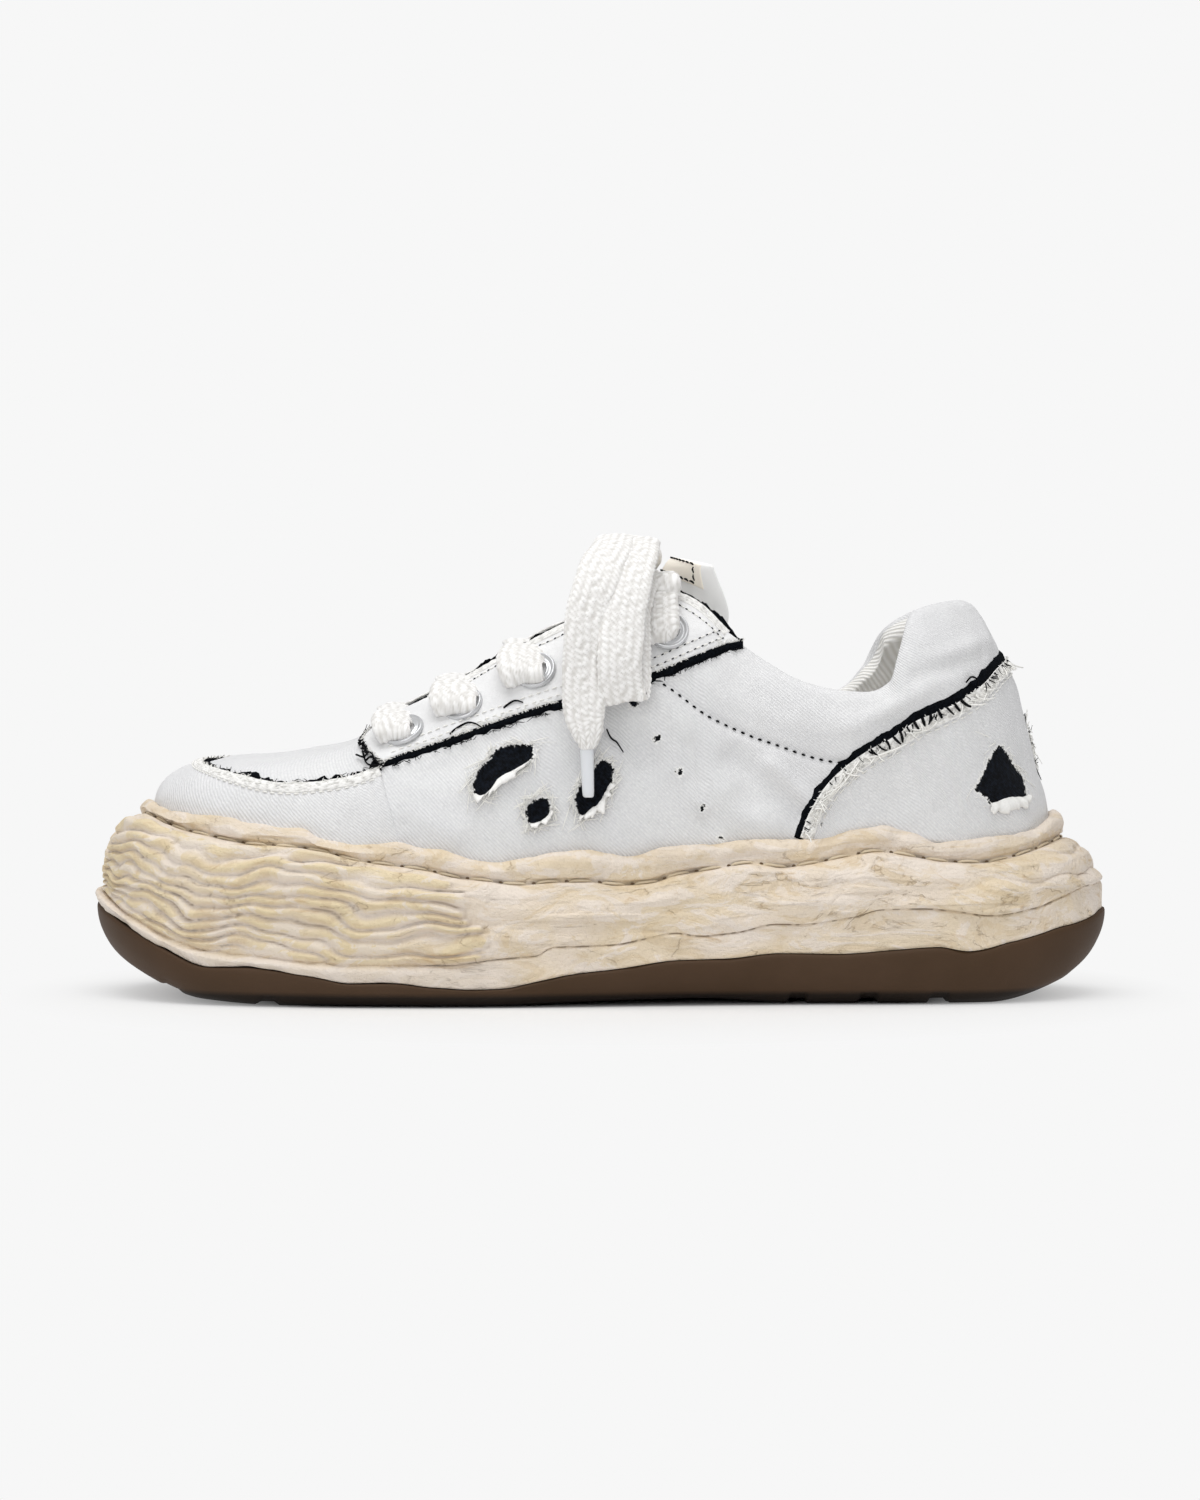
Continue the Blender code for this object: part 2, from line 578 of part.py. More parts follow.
def make_bow(finish, tip_finish, where):
    """On each side of the knot a hanging loop, and an end that hangs over it with its aglet."""
    for label, side in (("outer", 1), ("inner", -1)):
        turned = np.array([1, side, 1])
        shift = np.array([0, 0 if side > 0 else 2 * KNOT_MIDDLE[1], 0])
        for name, route, stations in (("lace_loop", LOOP_ROUTE, 22), ("lace_end", END_ROUTE, 15)):
            route = np.array(list(route.values()), float)
            path = through(route[:, :3] * turned + shift, stations)
            widths = np.interp(np.linspace(0, 1, stations), np.linspace(0, 1, len(route)), route[:, 3])
            flat = np.tile((1.0, 0.0, 0.0), (stations, 1))
            make_lace(f"{name}_{label}", path, widths, flat, finish, where)
        low, high = np.array(AGLET_LOW) * turned + shift, np.array(AGLET_HIGH) * turned + shift
        axis = mathutils.Vector((high - low).tolist())
        bpy.ops.mesh.primitive_cylinder_add(
            vertices=10, radius=AGLET_RADIUS * MM, depth=axis.length * MM,
            location=((low + high) / 2 * MM).tolist(), rotation=axis.to_track_quat("Z", "Y").to_euler(),
        )
        aglet = bpy.context.active_object
        aglet.name = f"aglet_{label}"
        aglet.data.materials.append(tip_finish)
        for held in list(aglet.users_collection):
            held.objects.unlink(aglet)
        where.objects.link(aglet)


def clear_scene():
    for item in list(bpy.data.objects):
        bpy.data.objects.remove(item, do_unlink=True)


def main():
    clear_scene()
    sneaker = collection("worn_out_sneaker")
    cutters = collection("cutters")
    brown_rubber = material("brown rubber", (0.077, 0.051, 0.035), 0.55)
    cream_rubber = material("cream rubber", (0.76, 0.62, 0.41), 0.6)
    canvas = material("white twill canvas", (0.75, 0.76, 0.78), 0.9)
    lining = material("off-white lining", (0.70, 0.69, 0.66), 0.9)
    lace = material("white cotton lace", (0.83, 0.83, 0.81), 0.9)
    enamel = material("white lacquered eyelet", (0.72, 0.73, 0.75), 0.3, 0.4)
    clear_plastic = material("clear aglet plastic", (0.80, 0.82, 0.85), 0.2)
    make_outsole(brown_rubber, sneaker, cutters)
    make_midsole(cream_rubber, sneaker)
    make_insole(lining, sneaker)
    make_upper(canvas, sneaker)
    make_tongue(canvas, sneaker)
    for label, side in (("outer", -1), ("inner", 1)):
        middle, out, along, _ = eyelet_seats(side)
        for k in range(EYELETS):
            make_eyelet(f"eyelet_{label}_{k + 1}", middle[k], out[k], along[k], enamel, sneaker)
    make_lace_bars(lace, sneaker)
    make_knot(lace, sneaker)
    make_bow(lace, clear_plastic, sneaker)


main()
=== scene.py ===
"""Looks of a worn left low-top sneaker: raw-edged white canvas on a hand-shaped cream rubber sole.

Lengths in the tables are millimetres in the frame's axes: +X runs from toe to heel, the outer side of the
foot is at -Y and the floor is z = 0. The upper, its panels and the sole are worked out from the last, the
closed outline round the foot at the rim of the sole, as the solids in the frame are.
"""

import json
import math

import bmesh
import bpy
import numpy as np
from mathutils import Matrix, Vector

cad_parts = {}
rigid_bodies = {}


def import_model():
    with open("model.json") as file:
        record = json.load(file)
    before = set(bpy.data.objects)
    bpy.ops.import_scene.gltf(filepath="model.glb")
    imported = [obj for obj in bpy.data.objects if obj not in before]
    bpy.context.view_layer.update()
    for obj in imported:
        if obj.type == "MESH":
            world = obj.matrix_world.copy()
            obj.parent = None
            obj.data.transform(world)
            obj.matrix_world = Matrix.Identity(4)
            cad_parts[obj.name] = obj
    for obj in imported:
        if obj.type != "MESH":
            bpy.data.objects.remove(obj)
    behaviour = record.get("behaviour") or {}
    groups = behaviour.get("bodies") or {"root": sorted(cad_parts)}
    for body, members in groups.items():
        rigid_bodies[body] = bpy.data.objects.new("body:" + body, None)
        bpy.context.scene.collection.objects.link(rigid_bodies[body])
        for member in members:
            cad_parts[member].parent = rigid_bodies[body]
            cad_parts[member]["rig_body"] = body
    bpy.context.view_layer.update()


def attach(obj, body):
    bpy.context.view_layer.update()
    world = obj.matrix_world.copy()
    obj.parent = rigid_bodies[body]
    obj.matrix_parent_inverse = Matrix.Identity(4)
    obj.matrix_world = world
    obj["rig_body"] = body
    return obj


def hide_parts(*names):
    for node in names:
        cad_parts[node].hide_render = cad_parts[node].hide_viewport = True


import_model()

MM = 0.001
BODY = "root"

# ---------------------------------------------------------------- sizes

GAP = 0.3                # left free between neighbouring pieces
WALL = 2.2               # thickness of the upper where it is not padded
TUCK = 3.0               # how far the straight foot of the upper ends below the top of the rim
COLLAR_PAD_FROM = 0.35   # share of the way up the upper where its padding begins
COLLAR_PAD_FULL = 0.8    # share of the way up where it is full
INSOLE_THICK = 4.0
SAME_POINT = 0.01        # points nearer than this are one

# Round the last from the toe by the outer side, as (foot x, foot y) at the rim of the sole, the crest of
# the opening's edge above it (edge x, y, z), half the thickness of that edge, how far the wall rises
# straight up, how far it comes back out and down from its edge, and how far the sole flares beyond it.
LAST_COLUMNS = ("foot_x", "foot_y", "edge_x", "edge_y", "edge_z", "half", "rise", "out", "drop", "flare")
LAST = {
    "toe":              (-138, 6, -71, 2, 76.5, 1.5, 19, 38, 3.5, 18),
    "outer toe":        (-132, -17, -71, -7, 77, 1.5, 18.5, 36, 4, 17),
    "outer toe side":   (-116, -35, -70, -14, 79, 1.5, 19, 28, 7, 14),
    "outer vamp":       (-90, -46, -64, -18.5, 85.5, 1.5, 21, 18, 13, 11),
    "outer ball":       (-55, -50, -45, -21, 95.5, 1.5, 26, 15, 9, 10),
    "outer waist":      (-18, -48, -18, -22, 110.5, 1.5, 34, 16, 11, 10),
    "outer instep":     (12, -44, 6, -22, 120.5, 1.5, 38, 16, 14, 10),
    "outer corner":     (32, -41, 25, -22, 123.5, 1.6, 38, 14, 18, 10.5),
    "outer ankle":      (48, -39, 42, -26, 110, 2.6, 28, 8, 16, 11),
    "outer collar":     (66, -37, 60, -30, 98.5, 3.6, 20, 4, 14, 11.5),
    "outer dip":        (84, -36, 77, -32, 95, 4.0, 18, 3, 14, 12),
    "outer heel":       (101, -34.5, 86.5, -29, 98.5, 4.4, 20, 7, 14, 13),
    "outer heel rise":  (118, -30, 90.5, -24, 118, 5.4, 24, 13.5, 15, 14.5),
    "outer heel back":  (132, -18, 98, -14.5, 123, 6.0, 26, 16, 15, 16.5),
    "heel":             (138, -2, 104.5, -1, 124, 6.5, 26, 13.5, 17, 18),
    "inner heel back":  (132, 14, 96, 11, 121.5, 6.0, 26, 17, 15, 16.5),
    "inner heel rise":  (118, 26, 87, 20, 115, 5.2, 24, 14, 15, 14.5),
    "inner heel":       (101, 30, 81.5, 26, 102, 4.4, 20, 7, 14, 13),
    "inner dip":        (84, 31.5, 73, 28.5, 93.5, 4.0, 18, 3, 14, 12),
    "inner collar":     (66, 32, 58, 28, 97.5, 3.6, 20, 3, 14, 11),
    "inner ankle":      (48, 33.5, 42, 26.5, 109.5, 2.6, 28, 6, 16, 10),
    "inner corner":     (32, 36, 26, 23.5, 123.5, 1.6, 38, 12, 18, 9.5),
    "inner instep":     (12, 40, 6, 24, 121, 1.5, 38, 15, 14, 9),
    "inner waist":      (-18, 46, -18, 24, 111, 1.5, 34, 16, 11, 9),
    "inner ball":       (-55, 50, -45, 23.5, 96, 1.5, 26, 17, 9, 9.5),
    "inner vamp":       (-90, 49, -64, 20.5, 86, 1.5, 21, 19, 13, 11),
    "inner toe side":   (-116, 42, -70, 16, 80, 1.5, 19, 28, 7, 14),
    "inner toe":        (-132, 27, -71, 10, 77.5, 1.5, 18.5, 36, 4, 17),
}

# Heights of the sole along the foot.
SOLE_COLUMNS = ("along", "bed", "rim", "groove", "band", "edge", "under")
SOLE = {
    "toe tip":    (-157, 37, 61, 54, 34, 29, 16),
    "toe":        (-141, 36, 59.5, 53, 25, 21, 8),
    "toe box":    (-120, 31, 57, 50.5, 18, 12.5, 1.2),
    "vamp":       (-97, 28, 54, 47.5, 17, 11, 0),
    "ball front": (-72, 26, 49, 43, 14, 7.5, 0),
    "ball":       (-35, 25, 44.5, 38, 13.5, 5.5, 0),
    "waist":      (0, 27, 46.5, 38.5, 18, 11, 1.2),
    "arch":       (30, 29.5, 48, 41, 21.5, 14, 1.8),
    "heel front": (62, 32, 50, 43, 24.5, 15.5, 0),
    "heel":       (90, 34, 52.5, 45.5, 28.5, 17, 0),
    "heel seat":  (118, 35, 50, 43, 27, 18, 0),
    "heel back":  (141, 36, 56, 48.5, 32, 23, 5.5),
    "heel tip":   (157, 36, 57, 49, 36, 27.5, 15),
}

# Outside of the midsole from the rim down: distance out from the last, share of the flare added to it, a
# further share behind the ribs, the height as a line of the SOLE table and a step from it, and mesh rows.
MIDSOLE_SIDE = {
    "lip foot":   (GAP, 0.0, 0.0, "rim", -6.0, 0),
    "lip":        (GAP, 0.0, 0.0, "rim", -1.4, 2),
    "crest":      (2.4, 0.0, 0.0, "rim", 0.0, 4),
    "rim face":   (4.6, 0.02, 0.0, "rim", -2.4, 5),
    "rim foot":   (4.4, 0.02, 0.0, "groove", 1.4, 7),
    "stitching":  (3.6, 0.06, 0.02, "groove", 0.0, 5),
    "shoulder":   (3.4, 0.30, 0.04, "groove", -2.2, 5),
    "body":       (1.6, 0.66, 0.06, "groove", -8.0, 20),
    "body foot":  (0.0, 0.84, 0.10, "band", 1.2, 54),
    "crease":     (0.0, 0.84, 0.10, "band", 0.0, 4),
    "band face":  (0.0, 1.04, -0.11, "band", -2.2, 6),
    "band foot":  (0.0, 0.97, 0.0, "edge", GAP / 2, 9),
}
MIDSOLE_AROUND = 660  # points round the midsole
RIBS = 9             # hand-rolled ribs one above another round the toe
RIB_HIGH = 2.4       # from the hollow beside a rib to its crest
# Where each rib is torn off on the side of the foot, from the highest one down.
RIB_ENDS = (-48, -45, -40, -41.5, -39, -34.5, -33.5, -36, -36, -36)
STITCH_LONG = 9.0    # stitches in the groove under the rim
STITCH_PITCH = 10.0

# Outside of the outsole: distance out beyond the flare, share of the way up from the underside, and rows.
OUTSOLE_SIDE = {
    "lip":   (0.3, 0.82, 3),
    "side":  (-0.8, 0.45, 5),
    "turn":  (-4.0, 0.13, 7),
    "tread": (-9.0, 0.0, 6),
}
OUTSOLE_AROUND = 560
TREAD_WIDE = 5.0     # grooves between the lugs
TREAD_DEEP = 1.5
TREAD_BOW = 5.0      # how far the middle of a groove lies to the toe of its place
# Each groove of the tread: its place along the sole and its share of the depth.
TREADS = (
    (-126, 0.5), (-97, 0.7), (-81.5, 1), (-61, 1), (-40.5, 1), (-20, 1), (63, 1), (84.5, 1), (106, 1),
)

# Lines on the outer side of the upper, as (x, z).
EYESTAY_EDGE = (
    (-66, 71.8), (-61, 74.2), (-50, 77.9), (-40, 81.5), (-29, 85.7), (-12, 90.9), (2, 95.3), (16, 99.5),
    (31, 105.2), (38, 108), (43.5, 109.6),
)
COLLAR_SEAM = (
    (18, 97.3), (23, 94), (31, 88), (38, 84.3), (46, 80.7), (53, 78.3), (62, 75), (69, 73.2), (75, 72.6),
)
COUNTER_EDGE = (
    (60.5, 49.5), (64, 58.4), (68.2, 64.4), (75.2, 72.3), (83, 77.2), (94, 83.4), (105, 89.2),
    (115.5, 95), (122, 99.3),
)
COUNTER_BACK_Z = 102.8
SIDE_SEAM = ((-63, 68.4), (-61, 62), (-59.3, 55), (-57.8, 49))
# The seam round the top of the toe, in plan, from the outer to the inner side.
TOE_SEAM = (
    (-66, -41.8), (-80, -42), (-95, -39.6), (-107, -33.5), (-116, -24), (-121.5, -11), (-123, 4),
    (-120.5, 19), (-113, 32), (-102, 40.5), (-90, 44), (-78, 45), (-66, 43.5),
)
# Loose ends of black thread that lie on the outer side, as (x, z).
LOOSE_THREADS = (
    ((2, 83), (3, 80.6), (4, 79.6), (5, 79), (7, 76)),
    ((-45, 80.6), (-43.5, 82), (-40, 84), (-37.5, 84), (-35.5, 83)),
    ((-29, 89), (-27, 90.3), (-25, 90.9), (-23, 90.5)),
    ((-71.5, 75), (-70, 71.5), (-67, 71), (-64, 72.5)),
    ((-73.5, 74), (-71, 73.2), (-69, 74.5), (-67, 72)),
    ((-70.5, 72.5), (-68.5, 73.5), (-66.5, 71.6), (-65, 71)),
    ((110, 96.5), (111.5, 98), (113.5, 97), (114, 95)),
)

# Worn holes in the canvas of the outer side, as (x, z) round each one.
HOLES = {
    "bean": (
        (-30.9, 77.2), (-26.6, 77.8), (-20.4, 77.9), (-20.6, 74.3), (-24.6, 71.4), (-30.3, 68.1),
        (-32.7, 65.2), (-35.4, 63.0), (-37.4, 63.7), (-37.9, 66.5), (-35.7, 71.3), (-32.6, 74.2),
    ),
    "chip": (
        (-22.1, 57.9), (-21.6, 60.2), (-19.2, 62), (-16.1, 62), (-15.1, 58.4), (-17.2, 55.8),
        (-20.9, 54.8),
    ),
    "slot": (
        (-0.8, 72.4), (1.3, 73.5), (3.8, 70.8), (3.0, 67.0), (1.5, 63.8), (-0.4, 60.5), (-2.9, 58.9),
        (-5.3, 57.0), (-6.4, 58.4), (-7.2, 62.4), (-5.6, 65.9), (-2.9, 69.6),
    ),
    "heel": (
        (122.3, 77.4), (125.2, 72.5), (129.4, 67.2), (130.2, 61.9), (124.5, 61.3), (118.8, 59.9),
        (118.3, 61.9), (114.4, 64.3), (115.9, 67.2), (118.2, 71.9), (120.0, 75.4),
    ),
}
# Turned-out flaps at the holes: first and last corner of the outline they hang from, and their width.
FLAPS = {"bean": (3.2, 8.0, 2.4), "chip": (3.6, 6.2, 1.4), "slot": (3.0, 7.6, 2.2), "heel": (2.9, 5.2, 4.2)}
# Small holes pricked through the canvas: x, z and radius.
PINHOLES = ((10.2, 90.8, 0.75), (17.4, 80.2, 0.45), (24, 70.1, 0.5), (31, 59.3, 0.35), (36.5, 49.9, 0.4))
HOLE_DEEP = 0.9

# Soft creases of the upper: ends as (x, z), width and depth; a negative depth is a ridge. side -1 is outer.
CREASES = (
    (-1, (2, 92), (14, 74), 9, 2.6),
    (-1, (20, 90), (38, 66), 10, -2.0),
    (-1, (28, 78), (46, 60), 6, 0.9),
    (-1, (14, 70), (30, 54), 9, 0.7),
    (-1, (40, 74), (60, 58), 8, 1.9),
    (-1, (52, 72), (64, 60), 6, -1.5),
    (-1, (30, 62), (52, 54), 9, -0.9),
    (-1, (96, 99), (116, 104), 5, 0.9),
    (-1, (100, 104), (118, 109), 5, -0.8),
    (-1, (76, 84), (96, 93), 6, -1.0),
    (-1, (-52, 70), (-30, 80), 8, 0.7),
    (-1, (-58, 58), (-44, 52), 8, -0.7),
    (1, (0, 90), (16, 70), 10, 1.3),
    (1, (24, 84), (44, 62), 9, -1.0),
    (1, (50, 72), (64, 58), 7, 0.8),
    (1, (98, 100), (116, 106), 5, 0.8),
    (1, (-60, 62), (-40, 70), 9, 0.6),
)

UPPER_AROUND = 520     # points round the upper
UPPER_STRAIGHT = 84    # rings of its outer face below the rounded edge
UPPER_ROUNDING = 8     # rings of the rounded edge of the opening
FRAY_BEAD = 2.8        # from one matted tuft of a frayed border to the next

EYELETS = 5
# Place of each eyelet along the shoe, its distance down from the edge of the throat, how wide the run of the
# lace is where it goes over that edge, and how far it lies to the toe of its eyelet.
EYELET_SEATS = (
    (-59, 18.4, 12.8, -2.4), (-41.5, 14.4, 15.5, -1.4), (-19.3, 14.6, 15.5, -3.2), (0, 16.0, 13.5, -2.2),
    (20.5, 14.4, 11.5, -2.0),
)
EYELET_LIFT = 1.1
EYELET_RADIUS = 6.5
EYELET_HOLE = 3.4

# The tongue from under the vamp to its free top: place along and height of its crest, half its width,
# how far its sides fall below the crest and lie behind it, and half its thickness.
TONGUE_COLUMNS = ("x", "z", "half_wide", "fall", "sweep", "half_thick")
TONGUE_MIDDLE = 1.0
TONGUE = {
    "root":    (-86, 69.5, 19, 5.0, 0, 1.0),
    "vamp":    (-71, 71.2, 20, 6.0, 1, 1.1),
    "bar 1":   (-57, 81.8, 21.5, 9.5, 3, 1.6),
    "bar 2":   (-38, 94, 23.0, 12.0, 5, 2.2),
    "bar 4":   (-10, 107, 24.0, 14.0, 8, 2.8),
    "bar 5":   (8, 116.6, 23.8, 14.5, 13, 3.1),
    "collar":  (18.5, 123.6, 22.0, 9.5, 20, 3.3),
    "top":     (25.5, 134.5, 26.0, 2.0, 9, 3.2),
}

LACE_WIDE = 14.0
BRAID_PITCH = 1.7    # along the lace, from one strand of the braid to the next
BRAID_COLUMN = 2.5   # width of a column of strands
BRAID_RELIEF = 0.44  # from the hollow between strands to their crests
KNOT_MIDDLE = (9.0, 1.0, 134.5)
KNOT_HALF = (9.5, 8.0, 5.2)
KNOT_RINGS = 150

# The bow's route on the outer side, from the knot round its loop, back through the knot and down its end:
# place along, across and up, the lace's width there and its thickness.
BOW_ROUTE = {
    "in the knot":    (11.5, -1.5, 135.3, 9, 3.2),
    "out of knot":    (12.2, -8.5, 136.4, 9.5, 3.6),
    "over":           (12.6, -20, 139.4, 11.5, 3.8),
    "shoulder":       (11.4, -32.6, 136.2, 13.0, 3.6),
    "outside":        (8.8, -42.8, 127.6, 13.8, 3.4),
    "hang":           (6.5, -48.3, 114.5, 14, 3.2),
    "low outside":    (6.0, -50.6, 101.5, 14, 3.2),
    "fold":           (7.4, -47.6, 92.8, 14, 3.2),
    "low inside":     (8.8, -43.4, 100, 14, 3.2),
    "inside":         (8.2, -40.2, 111.5, 14, 3.2),
    "under":          (9.8, -34.2, 123.5, 13.5, 3.2),
    "back":           (12, -22, 129.5, 12.5, 3.4),
    "to the knot":    (11, -8.0, 131.4, 9, 3.4),
    "through knot":   (8, -0.5, 134.5, 8, 3.4),
    "end out":        (6.0, -7.5, 138.4, 9, 3.8),
    "end over":       (5.0, -20, 140.4, 12, 3.6),
    "end shoulder":   (3.4, -33.8, 137.2, 13.4, 3.4),
    "end outside":    (-0.6, -44.0, 129, 13.8, 3.6),
    "end hang":       (-3.6, -48.3, 116.5, 14, 3.2),
    "end low":        (-4.3, -49.4, 103.5, 14, 3.2),
    "end lower":      (-4.8, -49.7, 95.5, 13.8, 3.4),
    "end gather":     (-4.7, -49.8, 88.5, 12.8, 4.0),
    "end drawn in":   (-3.9, -49.7, 82.5, 9.8, 4.4),
    "tip":            (-3.6, -49.2, 77.4, 4.6, 3.8),
}
AGLET_HIGH = (-4.0, -48.95, 78.4)
AGLET_LOW = (-3.5, -47.8, 62.7)
AGLET_RADIUS = 2.1

CAMERA_FAR = 1600.0
CAMERA_ELEVATION = 2.0
CAMERA_TARGET_Z = 75.3
CAMERA_LENS = 123.86


# ---------------------------------------------------------------- forms

def steady_curve(xs, ys, x):
    """Smooth curve through (xs, ys) that never overshoots: a cubic Hermite with harmonic-mean slopes."""
    xs, ys, x = np.asarray(xs, float), np.asarray(ys, float), np.asarray(x, float)
    step = np.diff(xs)
    slope = np.diff(ys) / step
    both = slope[:-1] * slope[1:]
    mean = np.where(both > 0, 2 * both / np.where(both > 0, slope[:-1] + slope[1:], 1), 0)
    tangent = np.concatenate([slope[:1], mean, slope[-1:]])
    x = np.clip(x, xs[0], xs[-1])
    i = np.clip(np.searchsorted(xs, x) - 1, 0, len(step) - 1)
    t = (x - xs[i]) / step[i]
    return (
        (2 * t**3 - 3 * t**2 + 1) * ys[i]
        + (t**3 - 2 * t**2 + t) * step[i] * tangent[i]
        + (3 * t**2 - 2 * t**3) * ys[i + 1]
        + (t**3 - t**2) * step[i] * tangent[i + 1]
    )


def spline(before, here, after, last, t):
    """Catmull-Rom cubic between here and after, at shares t of the way."""
    bend = 2 * before - 5 * here + 4 * after - last + t * (3 * (here - after) + last - before)
    return here + 0.5 * t * (after - before + t * bend)


def through(rows, place):
    """A Catmull-Rom curve through rows, read at places given in rows; it runs on straight past its ends."""
    rows = np.asarray(rows, float)
    padded = np.concatenate([[2 * rows[0] - rows[1]], rows, [2 * rows[-1] - rows[-2]]])
    i = np.clip(np.floor(place).astype(int), 0, len(rows) - 2)
    t = (place - i).reshape(-1, *[1] * (rows.ndim - 1))
    return spline(*(padded[i + k] for k in range(4)), t)


def run_along(line):
    """Length along a line of points, from its start to each of them."""
    return np.concatenate([[0], np.cumsum(np.linalg.norm(np.diff(line, axis=0), axis=1))])


def read_along(places, run, rows):
    """Every column of rows at places along their run."""
    return np.stack([np.interp(places, run, column) for column in rows.T], axis=-1)


def even_path(rows, step):
    """Rows of a table spread evenly along the smooth curve through their first three columns."""
    fine = through(rows, np.linspace(0, len(rows) - 1, 60 * len(rows)))
    run = run_along(fine[:, :3])
    even = np.linspace(0, run[-1], int(run[-1] / step) + 2)
    return read_along(even, run, fine)


def raggedness(random, count):
    """Random numbers of about 1, each evened out with its neighbours."""
    return np.convolve(random.normal(0, 1, count + 4), np.ones(3) / 1.7, "same")[2:-2]


def sole_line(column, x):
    """Height of a line of the SOLE table at places along the foot."""
    rows = np.array(list(SOLE.values()), float)
    return steady_curve(rows[:, 0], rows[:, SOLE_COLUMNS.index(column)], x)


def round_last(turn):
    """Rows of the LAST table at places from 0 to 1 round it: a closed Catmull-Rom curve through its rows."""
    rows = np.array(list(LAST.values()), float)
    place = np.asarray(turn, float) % 1 * len(rows)
    i = np.floor(place).astype(int)
    t = (place - i)[..., None]
    found = spline(*(rows[(i + k) % len(rows)] for k in (-1, 0, 1, 2)), t)
    return {name: found[..., k] for k, name in enumerate(LAST_COLUMNS)}


def outward(turn):
    """Level unit vectors that point out of the last at these places."""
    ahead, behind = round_last(turn + 1e-4), round_last(turn - 1e-4)
    dx, dy = ahead["foot_x"] - behind["foot_x"], ahead["foot_y"] - behind["foot_y"]
    length = np.hypot(dx, dy)
    return np.stack([dy / length, -dx / length], axis=-1)


def last_outline(turn, out):
    """Plan points of the last moved out by a distance, as x and y."""
    row, away = round_last(turn), outward(turn)
    return row["foot_x"] + away[..., 0] * out, row["foot_y"] + away[..., 1] * out


def unit(vectors):
    """These vectors, each of length 1."""
    return vectors / np.maximum(np.linalg.norm(vectors, axis=-1, keepdims=True), 1e-9)


def blend(x, start, end):
    """A soft step from 0 at start to 1 at end."""
    t = np.clip((x - start) / (end - start), 0, 1)
    return t * t * (3 - 2 * t)


def bump(x):
    """A bell that is 1 at 0 and dies away by about 2."""
    return np.exp(-(x * x))


def upper_face(turn, climb):
    """Outer face of the upper: lines straight up out of the cup, bent over to the edge of the opening.

    Each line is a cubic curve from the rim (climb 0) to the edge of the opening (climb 1).
    """
    turn, climb = np.broadcast_arrays(np.asarray(turn, float), np.asarray(climb, float))
    row, away = round_last(turn), outward(turn)
    foot = np.stack([row["foot_x"], row["foot_y"], sole_line("rim", row["foot_x"]) - TUCK], axis=-1)
    half = row["half"]
    edge_x, edge_y = row["edge_x"] + away[..., 0] * half, row["edge_y"] + away[..., 1] * half
    edge = np.stack([edge_x, edge_y, row["edge_z"]], axis=-1)
    over_foot = foot + row["rise"][..., None] * np.array([0, 0, 1.0])
    towards = unit(foot[..., :2] - edge[..., :2])
    padded = blend(half, 1.6, 2.6)[..., None]
    beside = unit(away * padded + towards * (1 - padded)) * row["out"][..., None]
    over_edge = edge + np.concatenate([beside, -row["drop"][..., None]], axis=-1)
    t = climb[..., None]
    low_part = (1 - t) ** 3 * foot + 3 * (1 - t) ** 2 * t * over_foot
    return low_part + 3 * (1 - t) * t**2 * over_edge + t**3 * edge


def upper_out(turn, climb):
    """Unit vectors out of the upper's face."""
    small = 1e-3
    up = upper_face(turn, climb + small) - upper_face(turn, climb - small)
    along = upper_face(turn + small, climb) - upper_face(turn - small, climb)
    return unit(np.cross(along, up))


def settle(points, axes, span):
    """Places (turn, climb) on the upper's face with these two coordinates: nearest, then Newton's steps."""
    wanted = np.asarray(points, float)
    turn, climb = np.meshgrid(np.linspace(*span, 300), np.linspace(0, 1, 90), indexing="ij")
    grid = upper_face(turn, climb)[..., axes].reshape(-1, 2)
    nearest = ((grid[None] - wanted[:, None]) ** 2).sum(-1).argmin(1)
    t, c = turn.ravel()[nearest], climb.ravel()[nearest]
    small = 1e-4
    for _ in range(6):
        here = upper_face(t, c)[:, axes]
        by_t = (upper_face(t + small, c)[:, axes] - here) / small
        by_c = (upper_face(t, c + small)[:, axes] - here) / small
        miss = wanted - here
        spread = by_t[:, 0] * by_c[:, 1] - by_t[:, 1] * by_c[:, 0]
        spread = np.where(np.abs(spread) < 1.0, 1e9, spread)
        t = t + np.clip((miss[:, 0] * by_c[:, 1] - miss[:, 1] * by_c[:, 0]) / spread, -0.01, 0.01)
        step = np.clip((by_t[:, 0] * miss[:, 1] - by_t[:, 1] * miss[:, 0]) / spread, -0.05, 0.05)
        c = np.clip(c + step, -0.02, 1)
    return np.stack([t, c], axis=-1)


SIDE_SPANS = {-1: (0.03, 0.5), 1: (0.5, 0.97)}


def on_side(points, side, step=1.5):
    """Places along a smooth line drawn as (x, z) on one side of the upper, about a step apart."""
    rows = np.asarray(points, float)
    flat = np.column_stack([rows, np.zeros(len(rows))])
    return settle(even_path(flat, step)[:, :2], [0, 2], SIDE_SPANS[side])


SWELL_WAVES = 9


def swell(points, wave, seed):
    """Gentle lumps between about -1 and 1: sine waves of about one length, in seeded directions."""
    random = np.random.default_rng(seed)
    ahead = unit(random.normal(0, 1, (SWELL_WAVES, points.shape[-1])))
    length = wave * random.uniform(0.65, 1.5, SWELL_WAVES)
    phase = random.uniform(0, math.tau, SWELL_WAVES)
    waves = [np.sin(math.tau * (points @ a) / w + p) for a, w, p in zip(ahead, length, phase)]
    return sum(waves) / math.sqrt(SWELL_WAVES)


def stacked(*parts):
    """Coordinates side by side in a last axis."""
    return np.stack(np.broadcast_arrays(*parts), axis=-1)


